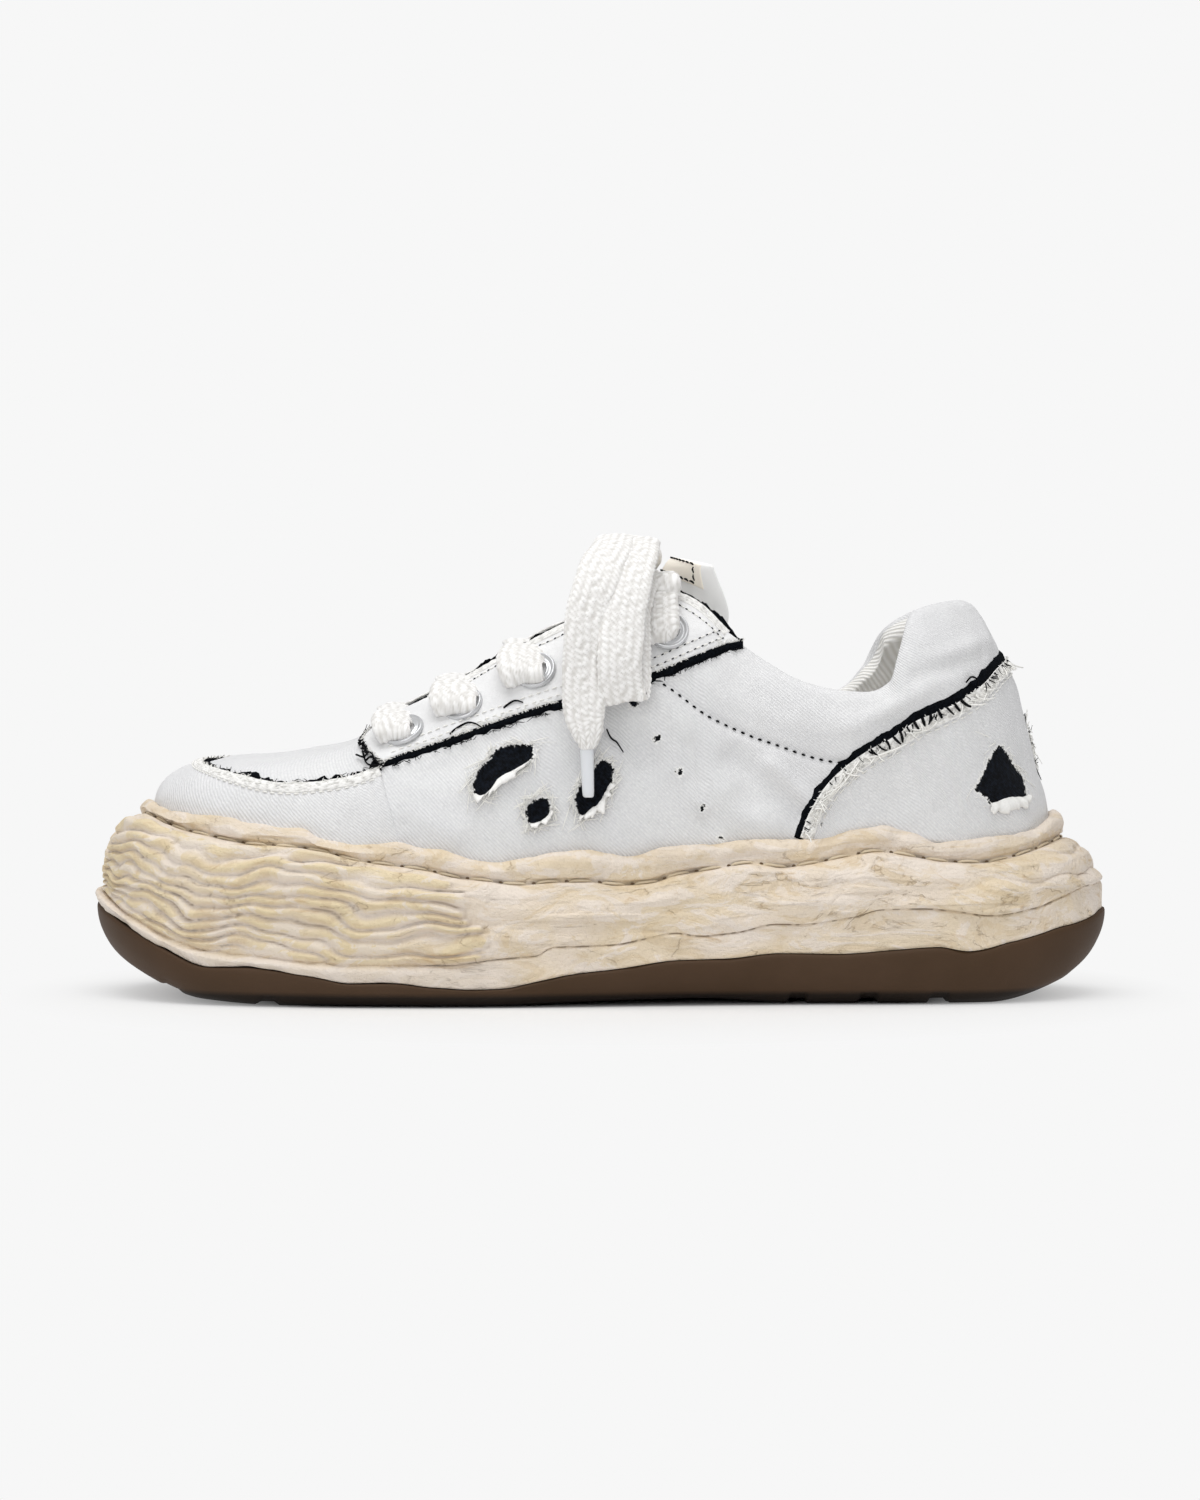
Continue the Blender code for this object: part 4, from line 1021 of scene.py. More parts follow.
def beside(line, distance):
    """Places (turn, climb) at a distance to the left of a line of places, measured on the face."""
    here = upper_face(*line.T)
    small = 1e-3
    by_turn = (upper_face(line[:, 0] + small, line[:, 1]) - here) / small
    by_climb = (upper_face(line[:, 0], line[:, 1] + small) - here) / small
    ahead = unit(np.gradient(here, axis=0))
    out = upper_out(*line.T)
    left = np.cross(out, ahead) * np.asarray(distance, float).reshape(-1, 1)
    a, b, c = ((p * q).sum(-1) for p, q in ((by_turn, by_turn), (by_turn, by_climb), (by_climb, by_climb)))
    p, q = (by_turn * left).sum(-1), (by_climb * left).sum(-1)
    spread = np.maximum(a * c - b * b, 1e-6)
    move = np.stack([(p * c - q * b) / spread, (q * a - p * b) / spread], axis=-1)
    return line + move


def resampled(line, step):
    """Places along a line of places, spread evenly at a step on the face."""
    return matched(line, max(2, int(run_along(upper_face(*line.T))[-1] / step) + 1))


def band_on(name, line, near, far, base, thick, seed, ragged):
    """A thin band of felt beside a line of places, from near to far to its left, with a ragged far edge.

    far is one distance, or several spread evenly along the line.
    """
    random = np.random.default_rng(seed)
    line = resampled(line, 0.9)
    far = np.atleast_1d(far)
    far = np.interp(np.linspace(0, 1, len(line)), np.linspace(0, 1, len(far)), far)
    fray = raggedness(random, len(line)) * ragged
    far_line = beside(line, far + fray)
    near_line = beside(line, np.full(len(line), near))
    q = np.linspace(0, 1, 5)
    place = near_line[:, None] * (1 - q[:, None]) + far_line[:, None] * q[:, None]
    round_off = np.sqrt(np.clip(1 - ((q - 0.55) / 0.45).clip(0) ** 2, 0, 1))
    top = canvas_at(place[..., 0], place[..., 1], base + thick * round_off)
    under = canvas_at(place[..., 0], place[..., 1], base - 0.5)
    rings = np.concatenate([top, under[:, ::-1]], axis=1)
    run = np.arange(len(line)) * 0.9
    return loft(name, rings, FELT, run, 8, slot="canvas")


def stitch_points(path, out, pitch, length, radius, bury=0.3):
    """Points and quads of stitches along a path: short arched threads, their ends sunk."""
    run = run_along(path)
    starts = np.arange(pitch / 2, run[-1] - length, pitch)
    place = starts[:, None] + np.linspace(0, 1, 5)[None] * length
    points, away = read_along(place, run, path), unit(read_along(place, run, out))
    arch = np.array([-bury, 0.75 * radius, radius, 0.75 * radius, -bury])
    return thread_tubes(points + away * arch[None, :, None], radius)


def joined(name, parts, finish, slot=None):
    """One mesh of many small closed tubes."""
    points, faces, start = [], [], 0
    for more_points, more_faces in parts:
        points.append(more_points)
        faces.append(more_faces + start)
        start += len(more_points)
    return piece(name, np.concatenate(points), np.concatenate(faces), finish, slot=slot)


def sewn(line, offset, lift, **how):
    """Stitches on the canvas beside a line of places."""
    row = beside(resampled(line, 0.8), offset)
    return stitch_points(canvas_at(row[:, 0], row[:, 1], lift), upper_out(*row.T), **how)


def fray(threads, line, offset, lift, count, reach, seed, lean=0.5, radius=0.14, curl=0.6, even=False):
    """Adds frayed ends along a line of places, strewn or evenly set: they leave it to its left and curl."""
    random = np.random.default_rng(seed)
    fine = resampled(line, 0.5)
    pick = random.uniform(0, len(fine) - 1.01, count)
    pick = np.linspace(0, len(fine) - 1.01, count) if even else pick
    index = pick.astype(int)
    row = fine[index] + (fine[index + 1] - fine[index]) * (pick - index)[:, None]
    ahead = unit(upper_face(*fine[index + 1].T) - upper_face(*fine[index].T))
    out = upper_out(*row.T)
    left = np.cross(out, ahead)
    side_row = row + (beside(fine, offset)[index] - fine[index])
    start = canvas_at(side_row[:, 0], side_row[:, 1], lift)
    long = random.uniform(*reach, count)[:, None, None]
    t = np.linspace(0, 1, 5)[None, :, None]
    slant, rise_up, bend = (random.normal(0, s, (count, 1, 1)) for s in (lean, 0.35, curl))
    heading = left[:, None] * (1 - 0.3 * t) + ahead[:, None] * (slant + bend * t)
    heading = heading + out[:, None] * (0.35 + rise_up * t)
    steps = heading * long / 4
    steps[:, 0] = 0
    paths = start[:, None] + np.cumsum(steps, axis=1)
    threads.append(thread_tubes(paths, radius * random.uniform(0.7, 1.3, count)))


def frayed_border(name, line, wide, base, seed):
    """The raw border of a panel, its weave gone to matted threads: a low beaded band to the line's right."""
    random = np.random.default_rng(seed)
    row = resampled(line, 0.5)
    q = np.linspace(-0.1, 1, 14)
    lines = np.stack([beside(row, np.full(len(row), -wide * a)) for a in q], axis=1)
    run = np.arange(len(row)) * 0.5
    fluff = random.normal(0, 1, lines.shape[:2])
    fluff = (fluff + np.roll(fluff, 1, 0) + np.roll(fluff, 1, 1) * 0.6) / 2
    bead = 0.5 + 0.5 * np.sin(math.tau * run / FRAY_BEAD + 1.5 * np.sin(run / 9))[:, None]
    arch = np.sin(math.pi * np.clip((q + 0.1) / 1.1, 0.04, 0.96))[None] ** 0.6
    tall = arch * (0.35 + 0.22 * fluff + 0.35 * bead * blend(q, 0.3, 0.9)[None])
    ends = np.sqrt(np.clip(np.minimum(np.arange(len(row)), np.arange(len(row))[::-1]) / 4, 0, 1))[:, None]
    top = canvas_at(lines[..., 0], lines[..., 1], base + tall * ends)
    under = canvas_at(lines[..., 0], lines[..., 1], base - 0.5)
    rings = np.concatenate([top, under[:, ::-1]], axis=1)
    # The strand field sets painted shade: greyer where the tufts are low.
    strand = np.clip(0.55 + 0.4 * fluff + 0.25 * (bead - 0.5), 0, 1)
    strand = np.concatenate([strand, strand[:, ::-1]], axis=1)
    return loft(name, rings, FRINGE, run, 8, fields={"strand": strand}, slot="canvas")


def line_of(points, side):
    """Places along a line drawn as (x, z), from toe to heel on the outer side and back on the inner side."""
    found = on_side(points, side)
    return found if side < 0 else found[::-1]


def edge_line(first, last, climb):
    """Places along the edge of the opening, first and last as rows of the LAST table counted from the toe."""
    return np.stack([np.linspace(first, last, 120) / len(LAST), np.full(120, climb)], axis=-1)


def matched(line, count):
    """A line of places spread evenly into this many."""
    run = run_along(upper_face(*line.T))
    return read_along(np.linspace(0, run[-1], count), run, line)


def make_eyestays(small):
    """The throat panels, their black backing below and behind the edge, and their two rows of stitches."""
    for label, side in (("outer", -1), ("inner", 1)):
        low = line_of(EYESTAY_EDGE, side)
        high = edge_line(2.6, 8.05, 0.992) if side < 0 else edge_line(19.95, 25.4, 0.992)
        low, high = matched(low, 150), matched(high, 150)
        panel(f"eyestay_{label}", low, high, 1.25, 26, 0.14, 11 + side, COATED)
        band_on(f"eyestay_backing_{label}", low, 1.0, (-1.2, -1.9, -2.2)[::-side], 0.15, 0.7, 21 + side, 0.22)
        throat = edge_line(2.6, 8.0, 0.975) if side < 0 else edge_line(20.0, 25.4, 0.975)
        throat_edge(f"throat_backing_{label}", throat, 31 + side)
        front = np.linspace(low[0], high[0], 24) if side < 0 else np.linspace(low[-1], high[-1], 24)
        back = slice(96, -6) if side < 0 else slice(6, -96)
        front_part = slice(4, 96) if side < 0 else slice(-96, -4)
        for offset in (2.0, 4.6):
            sew(small, low[back], offset, 1.2, 2.5, 1.7)
            sew(small, low[front_part], offset, 1.2, 2.5, 1.7, pricked=False)
        sew(small, matched(high, 120)[20:-4], -4.2, 1.2, 2.5, 1.7)
        fray(small["white"], low, 0.0, 0.9, 170 - 70 * side, (0.8, 2.2), 41 + side, lean=1.0, radius=0.11)
        fray(small["black"], low[::-1], 2.0, 0.5, 150, (0.6, 1.6), 43 + side, lean=1.0, radius=0.12)
        tuft = front[::-1] if side < 0 else front
        fray(small["black"], tuft, -0.6, 1.0, 44, (1.0, 3.0), 47 + side, lean=1.3, radius=0.2)
        frayed_border(f"eyestay_border_{label}", matched(high, 200)[30:-8], 2.6, 1.15, 48 + side)
        fray(small["white"], tuft, 0.0, 0.9, 60, (0.8, 2.4), 45 + side)


def throat_edge(name, line, seed):
    """Black felt that stands a little above the edge of the throat, cut raw."""
    random = np.random.default_rng(seed)
    line = resampled(line, 0.8)
    base = canvas_at(line[:, 0], line[:, 1], 0.1)
    top = upper_face(line[:, 0], np.ones(len(line)))
    out = upper_out(line[:, 0], line[:, 1])
    up = unit(top - base)
    tall = 1.9 + 0.5 * raggedness(random, len(line))
    tall = tall * blend(np.minimum(np.arange(len(line)), np.arange(len(line))[::-1]), -1, 6)
    rings = []
    for a, lift in ((0, 0.5), (0.6, 0.65), (1, 0.3), (1, -0.3), (0.6, -0.6), (0, -0.6)):
        rings.append(top + up * (tall[:, None] * a - 0.8 * (1 - a)) + out * (lift - 0.2))
    run = np.arange(len(line)) * 0.8
    return loft(name, np.stack(rings, axis=1), FELT, run, 6, slot="canvas")


def sew(small, line, offset, lift, pitch, length, pricked=True):
    """A row of white stitches, where pricked with a dark hole between each two."""
    small["white"].append(sewn(line, offset, lift, pitch=pitch, length=length, radius=0.26))
    if not pricked:
        return
    row = beside(resampled(line, 0.8), offset)
    path, out = canvas_at(row[:, 0], row[:, 1], lift + 0.02), upper_out(*row.T)
    run = run_along(path)
    cut = np.interp(pitch * 0.5 - 0.35, run, np.arange(len(path)))
    start = read_along(pitch * 0.5 + length - 0.05, run, path)
    moved = np.concatenate([[start], path[int(cut) + 2:]])
    moved_out = np.concatenate([out[:1], out[int(cut) + 2:]])
    small["black"].append(stitch_points(moved, moved_out, pitch, pitch - length, 0.2, bury=0.1))


def counter_line():
    """Places along the counter's edge, from its foot on the outer side over the heel to the inner side."""
    outer, inner = line_of(COUNTER_EDGE, -1), line_of(COUNTER_EDGE, 1)
    middle = settle([(0.0, COUNTER_BACK_Z)], [1, 2], (0.48, 0.52))
    rows = np.concatenate([outer[::8], middle, inner[::-1][::8][::-1]])
    return through(rows, np.linspace(0, len(rows) - 1, 400))


def make_counter(small):
    """The heel panel, black felt showing beyond its frayed edge, and one row of stitches."""
    line = matched(counter_line(), 330)
    low = np.stack([line[:, 0], np.full(len(line), -0.01)], axis=-1)
    panel("heel_counter", low[3:-3], line[3:-3], 1.15, 34, 0.5, seed=51)
    band_on("counter_backing", line, -1.5, (1.9, 2.4, 3.3, 3.3, 3.3, 2.4, 1.9), 0.1, 0.9, 52, 0.22)
    frayed_border("counter_border", line[1:-1], 3.6, 1.15, 53)
    sew(small, line[6:70], -4.4, 1.15, 3.0, 2.3)
    sew(small, line[70:-6], -4.4, 1.15, 3.0, 2.3, pricked=False)
    fray(small["white"], line[::-1], 1.2, 1.5, 420, (1.0, 2.6), 54, lean=1.1, radius=0.17, curl=1.0)
    fray(small["white"], line, -0.6, 1.5, 160, (0.8, 2.4), 55, lean=0.8, radius=0.13)
    fray(small["white"], line[::-1], 0.6, 1.9, 80, (2.5, 5.5), 58, lean=0.9, radius=0.25, curl=1.6)
    fray(small["black"], line[::-1], -0.2, 1.5, 60, (1.2, 2.6), 56, lean=0.5, radius=0.16)
    for side in (-1, 1):
        x = upper_face(*line.T)[:, 0] * np.where((line[:, 0] < 0.5) == (side < 0), 1, 0)
        hung = line[(x > 82) & (x < 109)]
        fray(small["black"], hung[::-1], -0.5, 1.7, 13, (2.8, 3.8), 57, lean=0.15, radius=0.42, curl=0.5,
             even=True)
    # The seam down the back of the heel, its edges worn to fluff.
    back = settle([(0.4, z) for z in np.linspace(85, 71, 15)], [1, 2], (0.48, 0.52))
    for seed, offset, count, colour in ((91, 0.6, 30, "black"), (93, 0.8, 90, "white")):
        for k, way in enumerate((back, back[::-1])):
            fray(small[colour], way, offset, 0.5, count, (1.2, 3.4), seed + k, lean=1.2, radius=0.2, curl=1.4)


def toe_line():
    """Places along the seam round the top of the toe, from the inner to the outer side."""
    rows = np.column_stack([np.array(TOE_SEAM, float)[::-1], np.zeros(len(TOE_SEAM))])
    return settle(even_path(rows, 1.5)[:, :2], [0, 1], (-0.18, 0.18))


def make_toe_guard(small):
    """The band round the toe, sewn over the vamp with a frayed edge on black felt."""
    line = matched(toe_line(), 300)
    share = np.linspace(0, 1, len(line))
    ends = [settle([SIDE_SEAM[-1]], [0, 2], SIDE_SPANS[side])[0] for side in (1, -1)]
    first, last = ends[0][0] - 1, ends[1][0]
    low_turn = line[:, 0] + (first - line[0, 0]) * blend(1 - share, 0.75, 1)
    low_turn = low_turn + (last - line[-1, 0]) * blend(share, 0.75, 1)
    low = np.stack([low_turn, np.full(len(line), -0.01)], axis=-1)
    panel("toe_guard", low, line, 0.9, 30, 0.4, seed=61)
    band_on("toe_backing", line, -1.0, (1.5, 1.0, 1.6, 1.7, 1.3, 2.4), 0.1, 0.6, 62, 0.9)
    frayed_border("toe_border", line[1:-1], 3.0, 0.9, 63)
    sew(small, line[3:-3], -3.4, 0.9, 2.6, 1.8, pricked=False)
    fray(small["white"], line[::-1], 1.0, 1.1, 150, (0.6, 1.6), 64, lean=1.1, radius=0.12)
    fray(small["white"], line, -0.5, 1.0, 200, (0.6, 1.6), 65, lean=1.1, radius=0.12)
    fray(small["black"], line, 0.3, 0.5, 160, (0.6, 1.8), 66, lean=1.2, radius=0.12)


def make_collar_seam(small):
    """The pricked seam below the padded collar on each side."""
    for side in (-1, 1):
        line = line_of(COLLAR_SEAM, side)
        path, out = canvas_at(line[:, 0], line[:, 1], 0.1), upper_out(*line.T)
        small["black"].append(stitch_points(path, out, 2.8, 1.0, 0.34, bury=0.3))


def make_loose_threads(small):
    """A few ends of black thread that lie in curls on the outer side."""
    for drawn in LOOSE_THREADS:
        curve = through(np.array(drawn, float), np.linspace(0, len(drawn) - 1, 14))
        places = settle(curve, [0, 2], SIDE_SPANS[-1])
        path = canvas_at(*places.T, np.interp(np.arange(14), (0, 7, 13), (1.2, 1.8, 1.4)))
        small["black"].append(thread_tubes(path[None], 0.32))


def make_flaps(small):
    """Torn canvas turned out along the edges of the holes, with its loose threads."""
    for seed, (name, (first, last, wide)) in enumerate(FLAPS.items(), 70):
        outline = np.array(HOLES[name], float)
        closed = np.column_stack([np.concatenate([outline] * 2), np.zeros(2 * len(outline))])
        rim = through(closed, np.linspace(first, last, 40))[:, :2]
        random = np.random.default_rng(seed)
        places = settle(rim, [0, 2], SIDE_SPANS[-1])
        middle = outline.mean(axis=0)
        face, out = upper_face(*places.T), upper_out(*places.T)
        away = np.column_stack([rim[:, 0] - middle[0], np.zeros(len(rim)), rim[:, 1] - middle[1]])
        away = unit(away - (away * out).sum(-1, keepdims=True) * out)
        noise = raggedness(random, len(rim) + 4)[2:-2]
        noise = noise * (0.35 if name == "heel" else 1)
        taper = np.sqrt(np.clip(np.sin(np.pi * np.linspace(0.03, 0.97, len(rim))), 0, 1))
        width = wide * (1 + 0.45 * noise) * taper
        q = np.linspace(0, 1, 7)
        rings = []
        for level in (0.45, -0.05):
            for a in (q if level > 0 else q[::-1]):
                lift = 0.5 + 1.25 * math.sin(math.pi * min(a * 0.75, 1)) + 0.35 * noise * a + level
                rings.append(face + away * (width * (a - 0.12))[:, None] + out * np.reshape(lift, (-1, 1)))
        run = np.arange(len(rim)) * 0.5
        # The strand field sets painted shade on the flap: greyer where it lies lower and narrower.
        strand = np.tile(0.6 + 0.3 * noise[:, None], (1, 14))
        rings = np.stack(rings, axis=1)
        loft(f"hole_flap_{name}", rings, FRINGE, run, 6, fields={"strand": strand}, slot="canvas")
        whole = through(closed, np.linspace(0, len(outline), 90))[:, :2]
        ring = settle(whole, [0, 2], SIDE_SPANS[-1])
        if hole_distance(upper_face(*beside(ring, np.full(len(ring), 1.0)).T)).mean() < 0:
            ring = ring[::-1]
        fray(small["white"], ring, 0.5, 0.7, 90, (0.6, 1.8), seed + 30, lean=1.4, radius=0.12, curl=1.4)
        fray(small["white"], ring, 0.9, 0.6, 70, (0.8, 2.6), seed + 40, lean=1.6, radius=0.18, curl=1.8)


# ---------------------------------------------------------------- eyelets and lace

def eyelet_seats(side):
    """Middle of each eyelet, its directions out and along the throat, and where its lace crosses the edge."""
    first, last = (3, 7) if side < 0 else (25, 21)
    turn = np.linspace(first, last, 161) / len(LAST)
    climb = np.linspace(0.3, 1, 71)
    lines = upper_face(turn[:, None], climb)
    steps = np.linalg.norm(np.diff(lines, axis=1), axis=-1)
    down = np.cumsum(steps[:, ::-1], axis=1)[:, ::-1]
    wanted, wanted_down, _, lean = np.array(EYELET_SEATS).T
    wanted_down = np.interp(lines[:, 60, 0], wanted, wanted_down)
    seat_climb = np.array([np.interp(-far, -d, climb[:-1]) for far, d in zip(wanted_down, down)])
    seat_x = upper_face(turn, seat_climb)[:, 0]
    turn, seat_climb = np.interp(wanted, seat_x, turn), np.interp(wanted, seat_x, seat_climb)
    middle, out = canvas_at(turn, seat_climb), upper_out(turn, seat_climb)
    near = upper_face(turn + 1e-3, seat_climb) - upper_face(turn - 1e-3, seat_climb)
    crest = lines[:, -1]
    over = read_along(wanted + lean, crest[:, 0], crest)
    return middle, out, unit(near) * -side, over


def make_eyelets():
    """Pressed rings with a rolled outer bead and a rolled lip round the hole."""
    turn, roll = np.arange(56) / 56 * math.tau, np.arange(26) / 26 * math.tau
    wide = EYELET_RADIUS - EYELET_HOLE
    out_of = EYELET_HOLE + wide * (0.5 + 0.5 * np.cos(roll))
    share = 0.5 + 0.5 * np.cos(roll)
    top = 0.3 + 1.0 * bump((share - 0.84) / 0.2) + 0.7 * bump((share - 0.1) / 0.22)
    up = 0.15 + np.where(np.sin(roll) > 0, top * np.abs(np.sin(roll)) ** 0.5, 0.25 * np.sin(roll))
    for label, side in (("outer", -1), ("inner", 1)):
        middle, out, along, _ = eyelet_seats(side)
        for k in range(EYELETS):
            across = np.cross(out[k], along[k])
            round_about = np.cos(turn)[:, None] * along[k] + np.sin(turn)[:, None] * across
            rings = middle[k] + round_about[:, None] * out_of[None, :, None]
            rings = rings + out[k] * (EYELET_LIFT + up)[None, :, None]
            faces = grid_faces(56, 26, round_rows=True, round_columns=True)
            ring = piece(f"eyelet_ring_{label}_{k + 1}", rings, faces, EYELET_LACQUER, slot="eyelet")
            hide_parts(f"eyelet_{label}_{k + 1}")


def lace_rings(path, wide, thick, flat, around, seed=0):
    """Rings round a flat braided lace along a path, and the height of its strands from 0 to 1.

    The section is a soft flat oval. Strands lie aslant in columns: a strand's height is the size of a sine
    of the way along and across, shifted by half a strand from one column to the next.
    """
    ahead = unit(np.gradient(path, axis=0))
    side = unit(flat - (flat * ahead).sum(axis=1, keepdims=True) * ahead)
    up = np.cross(side, ahead)
    run = run_along(path)
    angle = np.arange(around) / around * math.tau
    c, s = np.cos(angle), np.sin(angle)
    x = 1.3 / math.pi * np.arcsin(c) + 0.35 * c
    y = np.sign(s) * np.sqrt(np.clip(1 - np.abs(x) ** 2.6, 0, 1))
    across = x * LACE_WIDE / 2
    column = np.floor(across / BRAID_COLUMN + 0.5)
    # Where the lace is drawn together the slant of every other column turns over.
    narrow = blend(wide, 13.5, 10)[:, None]
    slant = np.where(column % 2 == 0, 1 - 2 * narrow, 1) * np.sign(y + 1e-9)
    phase = (run[:, None] + slant * (across - column * BRAID_COLUMN) * 0.8) / BRAID_PITCH + 0.5 * (column % 2)
    phase = phase + 0.14 * swell(stacked(run[:, None], across), 9, 3 + seed)
    strand = np.abs(np.sin(math.pi * phase)) ** 0.7
    off_middle = np.abs(across / BRAID_COLUMN - column)
    strand = strand * (1 - 0.5 * bump((off_middle - 0.5) * 5))
    strand = np.clip(strand * (0.8 + 0.35 * swell(stacked(run[:, None], across), 2.4, 5 + seed)), 0, 1.2)
    off = BRAID_RELIEF * (strand - 0.5)
    half_wide = wide[:, None] / 2 * (1 + 0.03 * swell(stacked(run[:, None], 40.0 * (x > 0)), 14, 7 + seed))
    half_thick = thick[:, None] / 2
    ease = np.minimum(1, half_thick / 1.2)
    middle = path[:, None]
    rings = middle + side[:, None] * (x * half_wide + off * c * ease)[..., None]
    rings = rings + up[:, None] * (y * half_thick + off * s * ease)[..., None]
    return rings, strand, run


def make_lace(name, path, wide, thick, flat, around, seed):
    """A flat braided lace along a path, as a closed solid."""
    rings, strand, run = lace_rings(path, wide, thick, flat, around, seed=seed)
    return loft(name, rings, LACE, run, 40, fields={"strand": strand}, slot="lace")


def make_lace_bars():
    """Straight runs over the throat: out of an eyelet, plump to the edge, flat across, and down the other."""
    outer, inner = eyelet_seats(-1), eyelet_seats(1)
    for k, (_, _, wide, lean) in enumerate(EYELET_SEATS):
        top_run = k == EYELETS - 1
        shift = np.array([lean, 0, 0.5 * lean])
        ends = []
        for middle, out, _, edge in (outer, inner):
            m, o, e = middle[k], out[k], edge[k]
            to_edge, far = unit(e - m), np.linalg.norm(e - m)
            ends.append([
                (*(m - o * 2.8 + 0.3 * shift), 6.5, 3.6),
                (*(m + o * 0.4 - to_edge * 0.8 + 0.6 * shift), 0.62 * wide, 4.2),
                (*(m + o * 2.4 - to_edge * 1.6 + 0.9 * shift), 0.85 * wide, 4.8),
                (*(m + o * 3.9 + to_edge * 0.06 * far + shift), wide, 5.4),
                (*(m + o * 4.0 + to_edge * 0.33 * far + 0.8 * shift), wide, 5.4),
            ])
            if top_run:
                ends[-1].append((*(m + o * 5.0 + to_edge * 0.8 * far + 0.4 * shift), wide, 4.8))
                ends[-1].append((*(e + o * 5.0 + to_edge * 1.5), wide, 4.6))
            else:
                ends[-1].append((*(m + o * 2.8 + to_edge * 0.64 * far + 0.4 * shift), 0.92 * wide, 4.2))
                ends[-1].append((*(e + o * (0.2, -2.8, 0.2) - to_edge * 0.1 * far), 0.88 * wide, 2.8))
        top = (np.array(ends[0][-1][:3]) + np.array(ends[1][-1][:3])) / 2 + (0, 0, 0.4)
        middle_rows = [(*top, 16.5, 3.2)]
        if top_run:
            low = KNOT_MIDDLE[2] - KNOT_HALF[2] - 2.0
            middle_rows = [
                (11, -9, low - 0.2, 13.5, 3.6), (9, 1, low, 12.5, 3.4), (11, 11, low - 0.2, 13.5, 3.6),
            ]
        rows = [*ends[0], *middle_rows, *ends[1][::-1]]
        lace = even_path(rows, 0.48)
        flat = np.tile((1.0, 0.0, 0.35 if top_run else -0.1), (len(lace), 1))
        bar = make_lace(f"lace_run_{k + 1}", lace[:, :3], lace[:, 3], lace[:, 4], flat, 56, seed=k)
        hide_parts(f"lace_bar_{k + 1}")


def make_bow():
    """On each side one lace out of the knot: round its loop, back through the knot, and down its end."""
    for label, side in (("outer", 1), ("inner", -1)):
        turned, shift = np.array([1, side, 1]), np.array([0, 0 if side > 0 else 2 * KNOT_MIDDLE[1], 0])
        rows = np.array(list(BOW_ROUTE.values()), float)
        rows[:, :3] = rows[:, :3] * turned + shift
        lace = even_path(rows, 0.43 if side > 0 else 0.7)
        path = lace[:, :3]
        share = np.linspace(0, 1, len(path))
        # The front of the loop lies with its edge on the end, which is turned a little to the heel.
        sway = np.interp(share, (0, 0.1, 0.15, 0.3, 0.36, 0.6, 0.72, 1), (0, 0, 0.1, 0.1, 0, 0, 0.1, 0.1))
        sway = sway + 0.05 * np.sin(share * 23 + side) + 0.04 * np.sin(share * 51)
        # At its lowest the loop hangs 3 mm deeper on the toe's side.
        slant = 0.22 * bump((share - 0.31) / 0.06)
        flat = np.column_stack([np.cos(sway), np.sin(sway) * side, slant])
        around = 72 if side > 0 else 44
        bow = make_lace(f"lace_bow_{label}", path, lace[:, 3], lace[:, 4], flat, around, seed=20 + side)
        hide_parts(f"lace_loop_{label}", f"lace_end_{label}")
        high, low = np.array(AGLET_HIGH) * turned + shift, np.array(AGLET_LOW) * turned + shift
        t = np.array([0, 0.0, 0.04, 0.1, 0.9, 0.97, 1, 1])
        reach = AGLET_RADIUS * np.array([0.3, 0.8, 0.98, 1, 0.86, 0.8, 0.66, 0.2])
        angle = np.arange(32) / 32 * math.tau
        ring = np.stack([np.cos(angle), 0.86 * np.sin(angle), 0 * angle], axis=-1)
        rings = (high + (low - high) * t[:, None])[:, None] + ring[None] * reach[:, None, None]
        tip = loft(f"lace_tip_{label}", rings, AGLET_FILM, t * 15, 12, slot="aglet")
        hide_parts(f"aglet_{label}")


def make_knot():
    """The lace drawn once round the middle of the bow: the middle one of three turns, so its ends meet."""
    angle = np.linspace(0, math.tau, KNOT_RINGS, endpoint=False)
    x, y, z = KNOT_MIDDLE
    rows = np.stack([
        x + (KNOT_HALF[0] - 1.6) * np.cos(angle), y + 1.0 * np.sin(angle),
        z + (KNOT_HALF[2] - 0.6) * np.sin(angle) + 0.8,
    ], axis=-1)
    flat = np.tile((0.12, 1.0, 0.0), (len(rows), 1))
    wide, thick = np.full(3 * KNOT_RINGS, 13.0), np.full(3 * KNOT_RINGS, 4.0)
    rings, strand, _ = lace_rings(np.tile(rows, (3, 1)), wide, thick, np.tile(flat, (3, 1)), 60, seed=40)
    turn = slice(KNOT_RINGS, 2 * KNOT_RINGS)
    faces = grid_faces(KNOT_RINGS, 60, True, True)
    made = piece("lace_knot_wrap", rings[turn], faces, LACE, fields={"strand": strand[turn]}, slot="lace")
    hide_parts("lace_knot")


# ---------------------------------------------------------------- tongue and insole

